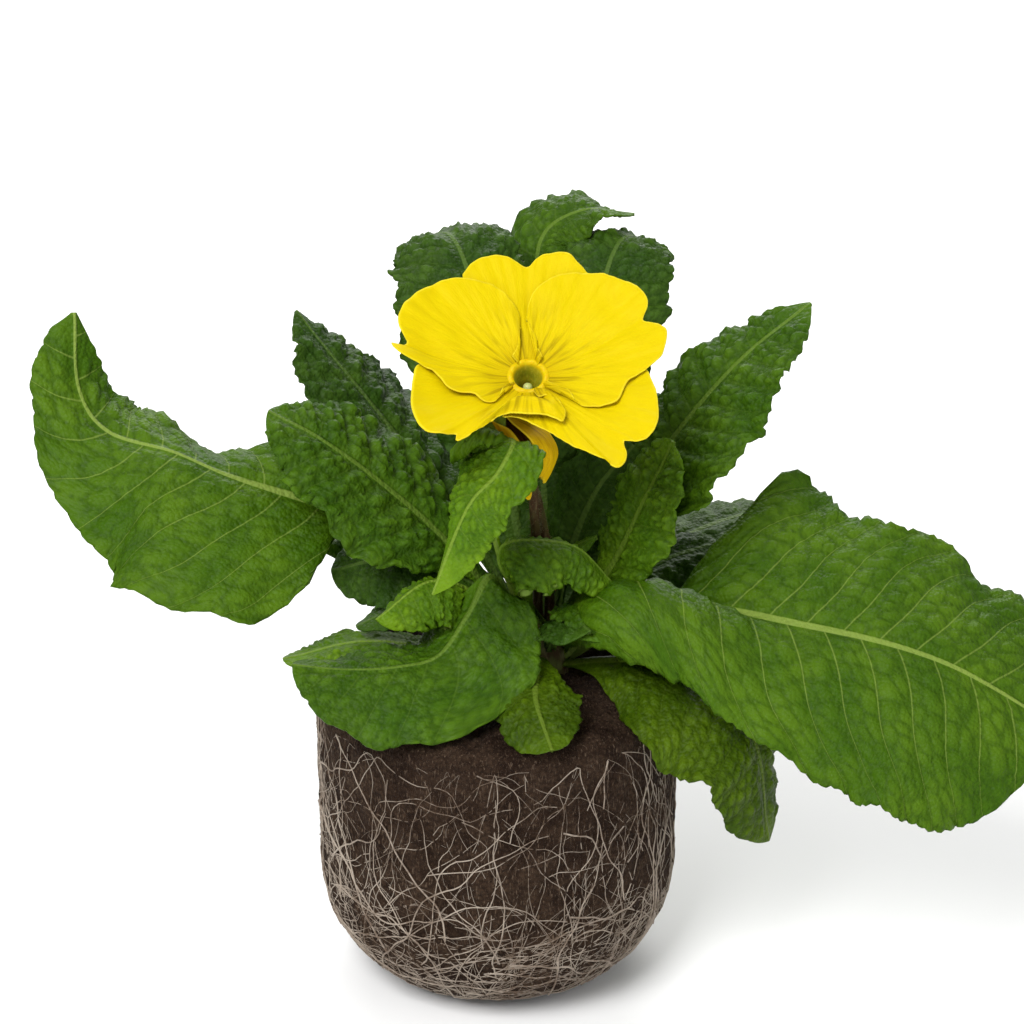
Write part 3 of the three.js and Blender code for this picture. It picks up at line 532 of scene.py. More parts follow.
@dataclass(frozen=True)
class PetalFinish:
    """Soft petal: its colour, the deeper colour round the throat and along the veins, and a painted highlight
    along its rim.

    vein_reach is how far from the throat the veins run, in millimetres.
    """

    name: str
    petal: Colour
    throat: Colour
    vein: Colour
    # Painted highlight: the paler rim colour along the margin, where the thin edge catches the light.
    rim: Colour
    vein_reach: float

    THROAT = 4.0
    STREAKS = (9.0, 0.09)

    @cache
    def material(self) -> bpy.types.Material:
        """Makes the petal's material, which reads how far each point lies from the throat and the rim.

        Returns:
            The material, the same one each time.
        """
        shader = Shader(
            self.name,
            Specular_IOR_Level=0.05,
            Subsurface_Weight=0.12,
            Subsurface_Radius=(1.0, 0.7, 0.05),
            Subsurface_Scale=0.6 * MM,
        )
        _, angle, radius = shader.split("fan")
        edge = shader.attribute("edge").outputs["Fac"]
        around = shader.math("MULTIPLY", angle, self.STREAKS[0])
        outward = shader.math("MULTIPLY", radius, self.STREAKS[1])
        streaks = shader.node("ShaderNodeCombineXYZ", {0: around, 1: outward, 2: 0.0}).outputs[0]
        fine = shader.noise(streaks, 2.2, 4.0, 0.6)
        broad = shader.noise(streaks, 0.8, 2.0, 0.5)
        reach = shader.ease(radius, self.THROAT, self.vein_reach, 1.0, 0.0)
        glow = shader.ease(radius, self.THROAT, 0.6 * self.vein_reach, 0.8, 0.0)
        colour = shader.mix(glow, self.petal, self.throat)
        lines = shader.math("MULTIPLY", shader.ease(broad, 0.48, 0.66), reach)
        colour = shader.mix(lines, colour, self.vein)
        colour = shader.mix(shader.ease(fine, 0.35, 0.7, 0.0, 0.2), colour, self.throat)
        # Painted highlight along the margin.
        colour = shader.mix(shader.ease(edge, 0.1, 0.5, 0.55, 0.0), colour, self.rim)
        shader.relief((fine, 0.22), (broad, 0.3))
        return shader.paint(colour, shader.ease(fine, 0.2, 0.8, 0.5, 0.62))


YELLOW_PETAL = PetalFinish(
    name="petal_yellow",
    petal=(0.58, 0.45, 0.0003),
    throat=(0.49, 0.35, 0.0004),
    vein=(0.29, 0.205, 0.0006),
    rim=(0.76, 0.62, 0.03),
    vein_reach=24.0,
)
BUD_PETAL = PetalFinish(
    name="petal_opening",
    petal=(0.62, 0.4, 0.002),
    throat=(0.42, 0.22, 0.003),
    vein=(0.34, 0.17, 0.003),
    rim=(0.74, 0.58, 0.03),
    vein_reach=26.0,
)
# Painted shade: the inner faces of the furled petals, darker and more orange, deepest towards the foot.
BUD_INSIDE_SHADED = PetalFinish(
    name="petal_opening_inside_shaded",
    petal=(0.33, 0.15, 0.004),
    throat=(0.17, 0.06, 0.003),
    vein=(0.12, 0.04, 0.003),
    rim=(0.7, 0.5, 0.02),
    vein_reach=30.0,
)


@dataclass(frozen=True)
class StalkFinish:
    """Stems, calyces and the crown: streaks of green and brown, and the pale colour of their down."""

    name: str
    green: Colour
    brown: Colour
    pale: Colour

    @cache
    def material(self) -> bpy.types.Material:
        """Makes the skin's material.

        Returns:
            The material, the same one each time.
        """
        shader = Shader(self.name, Specular_IOR_Level=0.12, Subsurface_Weight=0.08, Subsurface_Scale=0.5 * MM)
        place = shader.place()
        lines = shader.noise(shader.stretched(place, 900.0, 90.0), 1.0, 3.0)
        blot = shader.noise(place, 160.0, 3.0)
        colour = shader.mix(shader.ease(blot, 0.35, 0.65), self.green, self.brown)
        colour = shader.mix(shader.ease(lines, 0.5, 0.75, 0.0, 0.6), colour, self.pale)
        shader.relief((lines, 0.2), (shader.noise(place, 2500.0, 2.0), 0.08))
        return shader.paint(colour, shader.ease(blot, 0.2, 0.8, 0.5, 0.7))

    @cache
    def down(self) -> bpy.types.Material:
        """Makes the material of the fine hairs.

        Returns:
            The material, the same one each time.
        """
        shader = Shader(self.name + "_down", Roughness=0.6, Subsurface_Weight=0.2, Subsurface_Scale=0.3 * MM)
        return shader.paint(shader.mix(shader.noise(shader.place(), 700.0, 1.0), self.pale, self.green))


STEM_FINISH = StalkFinish(
    name="stem",
    green=(0.07, 0.065, 0.018),
    brown=(0.055, 0.028, 0.012),
    pale=(0.16, 0.13, 0.06),
)
CALYX_FINISH = StalkFinish(
    name="calyx",
    green=(0.13, 0.2, 0.02),
    brown=(0.08, 0.13, 0.012),
    pale=(0.26, 0.32, 0.08),
)
CROWN_FINISH = StalkFinish(
    name="crown",
    green=(0.13, 0.15, 0.04),
    brown=(0.07, 0.045, 0.018),
    pale=(0.22, 0.21, 0.1),
)


def throat_material() -> bpy.types.Material:
    """Makes the wall of the flower's tube: olive yellow, streaked, greener far down.

    Returns:
        The material.
    """
    shader = Shader("throat", Specular_IOR_Level=0.12, Subsurface_Weight=0.15, Subsurface_Scale=0.6 * MM)
    place = shader.place()
    fine = shader.noise(place, 1400.0, 3.0)
    soft = shader.noise(place, 300.0, 2.0)
    colour = shader.mix(shader.ease(soft, 0.35, 0.65), (0.3, 0.27, 0.008), (0.2, 0.2, 0.006))
    colour = shader.mix(shader.ease(fine, 0.45, 0.7, 0.0, 0.4), colour, (0.5, 0.44, 0.04))
    depth = shader.attribute("depth").outputs["Fac"]
    colour = shader.mix(shader.ease(depth, -1.2, 0.35), colour, (0.6, 0.43, 0.001))
    shader.relief((fine, 0.12))
    return shader.paint(colour, shader.ease(fine, 0.3, 0.7, 0.4, 0.55))


def stigma_material() -> bpy.types.Material:
    """Makes the pistil: pale green with a rough, wet head.

    Returns:
        The material.
    """
    shader = Shader(
        "stigma",
        Specular_IOR_Level=0.5,
        Roughness=0.35,
        Subsurface_Weight=0.2,
        Subsurface_Scale=0.5 * MM,
    )
    grain = shader.noise(shader.place(), 4000.0, 2.0)
    shader.relief((grain, 0.1))
    return shader.paint(shader.mix(grain, (0.34, 0.42, 0.1), (0.6, 0.62, 0.25)))


def peat_material() -> bpy.types.Material:
    """Makes moist peat: painted shade in the pits between crumbs, lighter fibres and soft lumps.

    Returns:
        The material.
    """
    shader = Shader("peat", Specular_IOR_Level=0.08)
    place = shader.place()
    lump = shader.noise(place, 130.0, 5.0, 0.65)
    crumb = shader.cells(place, 800.0)
    grit = shader.noise(place, 2600.0, 4.0, 0.7)
    fibre = shader.noise(shader.stretched(place, 2200.0, 420.0), 1.0, 4.0, 0.6)
    colour = shader.mix(shader.ease(lump, 0.35, 0.65), (0.022, 0.011, 0.006), (0.06, 0.036, 0.022))
    # Painted shade: near black where the crumb relief sinks into pits.
    colour = shader.mix(shader.ease(crumb, 0.2, 0.75, 0.0, 0.5), colour, (0.012, 0.006, 0.004))
    colour = shader.mix(shader.ease(fibre, 0.56, 0.7, 0.0, 0.75), colour, (0.17, 0.118, 0.08))
    colour = shader.mix(shader.ease(grit, 0.56, 0.74, 0.0, 0.5), colour, (0.22, 0.16, 0.115))
    shader.relief((crumb, -1.5), (lump, 1.6), (grit, 0.6), (fibre, 0.45))
    return shader.paint(colour, shader.ease(grit, 0.3, 0.7, 0.75, 0.95))


def root_material() -> bpy.types.Material:
    """Makes pale roots: greyish beige, browner in patches.

    Returns:
        The material.
    """
    shader = Shader("roots", Specular_IOR_Level=0.1, Roughness=0.62)
    place = shader.place()
    patch = shader.noise(place, 60.0, 3.0)
    speck = shader.noise(place, 900.0, 3.0)
    colour = shader.mix(shader.ease(patch, 0.35, 0.65), (0.33, 0.275, 0.22), (0.13, 0.09, 0.063))
    colour = shader.mix(shader.ease(speck, 0.4, 0.7, 0.0, 0.45), colour, (0.45, 0.39, 0.325))
    shader.relief((speck, 0.15))
    return shader.paint(colour)


def hold(piece: bpy.types.Object, slot: str, *nodes: str) -> bpy.types.Object:
    """Fixes a finished piece to the frame and reports it.

    Args:
        piece: the piece.
        slot: the record's material slot; not used.
        nodes: the CAD nodes that it stands for.

    Returns:
        The piece.
    """
    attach(piece, "root")
    if nodes:
        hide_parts(*nodes)
    LOG.info("%s: %d faces", piece.name, len(piece.data.polygons))
    return piece


def write_points(piece: bpy.types.Object, points: np.ndarray) -> None:
    """Moves a mesh's vertices to points given in millimetres."""
    piece.data.vertices.foreach_set("co", (points.reshape(-1, 3) * MM).astype(np.float32).ravel())
    piece.data.update()


def read_points(piece: bpy.types.Object) -> np.ndarray:
    """Reads where a mesh's vertices are.

    Args:
        piece: the piece.

    Returns:
        Their places in millimetres.
    """
    flat = np.zeros(3 * len(piece.data.vertices), np.float32)
    piece.data.vertices.foreach_get("co", flat)
    return flat.reshape(-1, 3).astype(float) / MM


def note(piece: bpy.types.Object, name: str, values: np.ndarray) -> None:
    """Stores numbers or vectors on a mesh's vertices for its material to read.

    Args:
        piece: the piece.
        name: the attribute's name.
        values: one number or three for each vertex.
    """
    vector = values.shape[-1] == 3 and values.size == 3 * len(piece.data.vertices)
    kind = "FLOAT_VECTOR" if vector else "FLOAT"
    field = piece.data.attributes.new(name, kind, "POINT")
    field.data.foreach_set("vector" if vector else "value", values.astype(np.float32).ravel())


def sheet_from(name: str, points: np.ndarray) -> bpy.types.Object:
    """Adds a grid and lays it along a surface.

    Args:
        name: the piece's name.
        points: rows of columns of places in millimetres. The upper face sees columns run to the
            right where rows run away.

    Returns:
        The piece, with its object at the origin.
    """
    rows, columns = points.shape[0] - 1, points.shape[1] - 1
    bpy.ops.mesh.primitive_grid_add(x_subdivisions=columns, y_subdivisions=rows, size=2)
    piece = bpy.context.object
    piece.name = name
    piece.data.name = name
    write_points(piece, points)
    return piece


def closed_from(name: str, points: np.ndarray) -> bpy.types.Object:
    """Adds a sheet whose last column meets its first, and welds it shut.

    Args:
        name: the piece's name.
        points: rows of columns of places in millimetres.

    Returns:
        The piece.
    """
    piece = sheet_from(name, points)
    finish_with(piece, "WELD", merge_threshold=WELD_REACH * MM)
    shade(piece)
    return piece


def threads_from(name: str, routes: list[np.ndarray], radii: list[np.ndarray]) -> bpy.types.Object:
    """Makes many thin threads as one mesh.

    Args:
        name: the piece's name.
        routes: the points that each thread passes, in millimetres.
        radii: the radius of each thread at its points.

    Returns:
        The piece.
    """
    curve = bpy.data.curves.new(name, "CURVE")
    curve.dimensions = "3D"
    curve.bevel_depth = MM
    curve.bevel_resolution = 0
    curve.resolution_u = 1
    for route, radius in zip(routes, radii):
        spline = curve.splines.new("NURBS")
        spline.points.add(len(route) - 1)
        spline.points.foreach_set("co", np.column_stack([route * MM, np.ones(len(route))]).ravel())
        spline.points.foreach_set("radius", radius)
        spline.use_endpoint_u = True
        spline.order_u = min(3, len(route))
    piece = bpy.data.objects.new(name, curve)
    bpy.context.scene.collection.objects.link(piece)
    bpy.ops.object.select_all(action="DESELECT")
    piece.select_set(True)
    bpy.context.view_layer.objects.active = piece
    bpy.ops.object.convert(target="MESH")
    piece = bpy.context.object
    shade(piece)
    return piece


def finish_with(piece: bpy.types.Object, kind: str, **settings: object) -> None:
    """Adds a modifier and applies it.

    Args:
        piece: the piece, which becomes the active object.
        kind: the modifier's type.
        settings: its properties.
    """
    bpy.context.view_layer.objects.active = piece
    modifier = piece.modifiers.new(kind.title(), kind)
    for key, value in settings.items():
        setattr(modifier, key, value)
    bpy.ops.object.modifier_apply(modifier=modifier.name)


def thicken(piece: bpy.types.Object, thickest: float, weights: np.ndarray | None = None) -> None:
    """Gives a sheet its thickness, downwards from its upper face.

    Args:
        piece: the sheet.
        thickest: the greatest thickness, in millimetres.
        weights: the share of it at each vertex, or None where the sheet is even.
    """
    group = piece.vertex_groups.new(name="thickness")
    shares = [1.0] * len(piece.data.vertices) if weights is None else weights.ravel().tolist()
    for index, weight in enumerate(shares):
        group.add([index], weight, "REPLACE")
    finish_with(
        piece,
        "SOLIDIFY",
        thickness=thickest * MM,
        offset=-1.0,
        vertex_group="thickness",
        use_rim=True,
        material_offset=1,
        material_offset_rim=0,
    )
    piece.vertex_groups.clear()
    shade(piece)


def shade(piece: bpy.types.Object) -> None:
    """Shades a piece smooth all over."""
    piece.data.polygons.foreach_set("use_smooth", [True] * len(piece.data.polygons))
    piece.data.update()


def dress(piece: bpy.types.Object, *materials: bpy.types.Material) -> None:
    """Gives a piece its materials, in the order of their slots."""
    for material in materials:
        piece.data.materials.append(material)


class Tier(Enum):
    """The ring of the crown that a leaf springs from: its radius and its height."""

    OUTER = (6.4, 89.0)
    MIDDLE = (4.8, 94.0)
    INNER = (3.0, 98.5)


CROWN_X = 12.0
LEAF_SEED = 0.37


@dataclass
class Leaf:
    """One leaf. Its midrib springs from a tier of the crown and runs through the points of path.

    faces is the plan direction that it points in, roll turns the blade about its midrib at the stalk
    and the tip, left and right are half-widths, fold and curl bend each half, start is where each half
    begins to widen, and outline gives the shares of the half-widths by knots instead. pitch is the
    size of its mesh's faces, spacing the distance between side veins, cell the size of the blisters
    between them and pucker their height. in_frame is off for a leaf that the frame leaves out.
    """

    name: str
    tier: Tier
    angle: float
    faces: float
    left: float
    right: float
    path: list[Point]
    roll: Course = 0.0
    lift: float = 0.0
    fold: tuple[Course, Course] = (0.0, 0.0)
    curl: tuple[Course, Course] = (-20.0, -20.0)
    outline: tuple[list[Pair], list[Pair]] | None = None
    start: Pair = (0.16, 0.16)
    widest: float | Pair = 0.6
    point: float = 0.5
    waves: float = 3.0
    ruffle: float = 1.5
    finish: LeafFinish = MATURE
    pitch: float = 0.9
    spacing: float = 8.0
    cell: float = 3.4
    pucker: float = 1.0
    in_frame: bool = True

    EDGE_WIDTH = 0.5
    STALK_WIDTH = 1.2
    STALK_GROWTH = 0.6
    THICK = 0.5
    KEEL = 2.4
    KEEL_WIDTH = 1.25
    KEEL_TAPER = 0.75
    RIB_WIDTH = (1.5, 0.45)
    BEND_STEPS = 8
    SWEEP = 0.07
    TOOTH = 3.1
    TOOTH_HEIGHT = 1.1
    TEETH_PER_BAY = 4.3
    BAY_HEIGHT = 0.7
    VEIN_LEAN = 0.4
    VEIN_BOW = 0.006
    CELL_SCALE = 3.4
    SMALL_CELLS = 2.3
    GROOVE = (-0.55, 2.6)
    RIDGE = (0.3, 0.9)

    def half_width(self, u: np.ndarray, k: int) -> np.ndarray:
        """Works out how wide a half-blade is.

        Args:
            u: how far along the midrib, 0 to 1.
            k: 0 for the left half and 1 for the right one.

        Returns:
            The half-width, in millimetres.
        """
        widest = (self.left, self.right)[k]
        if self.outline:
            return np.maximum(widest * course_at(self.outline[k], u), self.EDGE_WIDTH)
        turning = self.widest[k] if isinstance(self.widest, tuple) else self.widest
        stalk = self.STALK_WIDTH + self.STALK_GROWTH * np.minimum(10 * u, 1)
        growing = stalk + (widest - stalk) * smooth(u, self.start[k], turning)
        t = np.clip((u - turning) / (1 - turning), 0, 1)
        closing = np.maximum(widest * (1 - t * t) ** self.point, self.EDGE_WIDTH)
        return np.where(u < turning, growing, closing)

    def section(self, reach: np.ndarray, u: np.ndarray, k: int) -> tuple[np.ndarray, np.ndarray]:
        """Bends a half-blade as an arc.

        Args:
            reach: how far out each point lies, 0 at the midrib and 1 at the edge.
            u: how far along the midrib it lies.
            k: 0 for the left half.

        Returns:
            How far it reaches out and up, as shares of the half-width.
        """
        tilt = course_at(self.fold[k], u) * DEG
        bend = course_at(self.curl[k], u) * DEG
        angles = [tilt + bend * reach * (n + 0.5) / self.BEND_STEPS for n in range(self.BEND_STEPS)]
        out = sum(np.cos(angle) for angle in angles) * reach / self.BEND_STEPS
        up = sum(np.sin(angle) for angle in angles) * reach / self.BEND_STEPS
        return out, up

    def relief(self, x: np.ndarray, y: np.ndarray, room: np.ndarray, seed: float) -> dict[str, np.ndarray]:
        """Works out the blade's fine form from its veins.

        Args:
            x: distance across from the midrib, in millimetres.
            y: distance along it.
            room: the half-width there.
            seed: sets one leaf apart from another.

        Returns:
            The height of the surface, the distance to the borders of the blisters and the phase of
            the side veins, by name.
        """
        off = np.abs(x)
        waver = 0.16 * np.sin(y / 17 + seed) + 0.1 * np.sin(off / 5 + 2 * seed)
        side = np.where(x > 0, 0.5, 0.0)
        phase = (y - self.VEIN_LEAN * off - self.VEIN_BOW * off**2) / self.spacing + waver + side
        near = np.abs(phase - np.round(phase)) * self.spacing
        blister = cell_edges(phase * self.spacing / self.cell, off / self.cell + 7 * side, seed)
        small = cell_edges(self.SMALL_CELLS * x / self.cell, self.SMALL_CELLS * y / self.cell, seed + 3)
        share = smooth(room, 2.5, 9.0)
        inner = smooth(off, 0.9, 4.0)
        arch = 1 - (1 - np.minimum(2 * near / self.spacing, 1)) ** 2
        height = 0.75 * arch * smooth(room, 4.0, 18.0) + smooth(blister, 0.0, 0.32) * (0.35 + 0.65 * arch)
        height = height + 0.18 * smooth(small, 0.0, 0.25)
        midrib = sum(size * bell(x, width) for size, width in (self.GROOVE, self.RIDGE))
        border = np.minimum(blister * self.cell / self.CELL_SCALE, near / self.CELL_SCALE)
        return {
            "height": share * (self.pucker * inner * height + midrib),
            "cell": border + (1 - share),
            "phase": phase,
        }

    def surface(self, seed: float) -> dict[str, np.ndarray]:
        """Works out the upper face.

        Args:
            seed: sets one leaf apart from another.

        Returns:
            The places of its points and what its material reads, by name, each in rows and columns.
        """
        radius, height = self.tier.value
        foot = (
            CROWN_X + radius * math.cos(self.angle * DEG),
            radius * math.sin(self.angle * DEG),
            height + self.lift,
        )
        midrib = Line.through([foot, *self.path])
        rows = int(midrib.length / self.pitch)
        half = int(max(self.left, self.right) / self.pitch)
        t = np.linspace(1, -1, 2 * half + 1)
        v = np.sign(t) * (0.75 * np.abs(t) + 0.25 * t * t)
        even = 1 - (1 - np.linspace(0, 1, rows + 1)) ** 1.25
        even, v = np.meshgrid(even, v, indexing="ij")
        reach = np.abs(v)
        u = np.clip(even + self.SWEEP * reach * np.sin(math.pi * even), 0, 1)
        place, way = midrib.at(u)
        aim = (self.faces + 90) * DEG
        side = np.array([math.cos(aim), math.sin(aim), 0.0]) + 0 * way
        across = unit(side - dot(side, way) * way)
        normal = np.cross(way, across)
        roll = (course_at(self.roll, u) * DEG)[..., None]
        out = across * np.cos(roll) + normal * np.sin(roll)
        up = normal * np.cos(roll) - across * np.sin(roll)
        is_left = v > 0
        width = np.where(is_left, self.half_width(u, 0), self.half_width(u, 1))
        widest = np.where(is_left, self.left, self.right)
        spread = width / widest
        bends = [self.section(reach, u, k) for k in (0, 1)]
        x = np.where(is_left, bends[0][0], bends[1][0])
        y = np.where(is_left, bends[0][1], bends[1][1])
        run = u * midrib.length
        beat = run / self.TOOTH + 0.35 * np.sin(run / 5.3 + seed) + np.where(is_left, 0.4, 0.0)
        teeth = (np.abs(np.sin(math.pi * beat)) - 0.6) * smooth(width, 3.0, 10.0) * reach**10
        bays = np.sin(TURN * beat / self.TEETH_PER_BAY + seed)
        lobes = self.BAY_HEIGHT * bays * smooth(width, 3.0, 14.0) * reach**5
        wave = self.ruffle * reach**2.5 * np.minimum(1.2 * spread, 1)
        wave = wave * np.sin(TURN * (self.waves * u + np.where(is_left, 0.37, 0.0)))
        frill = 0.45 * self.ruffle * reach**4 * np.sin(TURN * (2.7 * self.waves * u + seed)) * spread
        far = (np.sign(v) * (x * width + self.TOOTH_HEIGHT * teeth + lobes))[..., None]
        points = place + out * far + up * (y * width + wave + frill)[..., None]
        relief = self.relief(v * width, run, width, seed)
        face = unit(np.cross(np.gradient(points, axis=0), np.gradient(points, axis=1)))
        face = face * np.sign(dot(face, up))
        return {
            "points": points + face * relief["height"][..., None],
            "blade": np.stack([v * width, run, np.interp(even, [0, 1], self.RIB_WIDTH)], -1),
            "vein": np.stack([relief["phase"], reach, self.spacing + 0 * u], -1),
            "cell": relief["cell"],
            "keel": bell(v * width, self.KEEL_WIDTH) * (1 - self.KEEL_TAPER * np.sqrt(even)),
        }

    def build(self, seed: float) -> bpy.types.Object:
        """Makes the leaf and fixes it to the frame.

        Args:
            seed: sets one leaf apart from another.

        Returns:
            The piece.
        """
        made = self.surface(seed)
        piece = sheet_from("fine_" + self.name, made["points"])
        for name in ("blade", "vein", "cell"):
            note(piece, name, made[name])
        dress(piece, self.finish.top(), self.finish.underside())
        thin = self.THICK / self.KEEL
        thicken(piece, self.KEEL, thin + (1 - thin) * made["keel"])
        slot = "young_leaf" if self.finish is YOUNG else "leaf"
        return hold(piece, slot, *(["leaf_" + self.name] if self.in_frame else []))


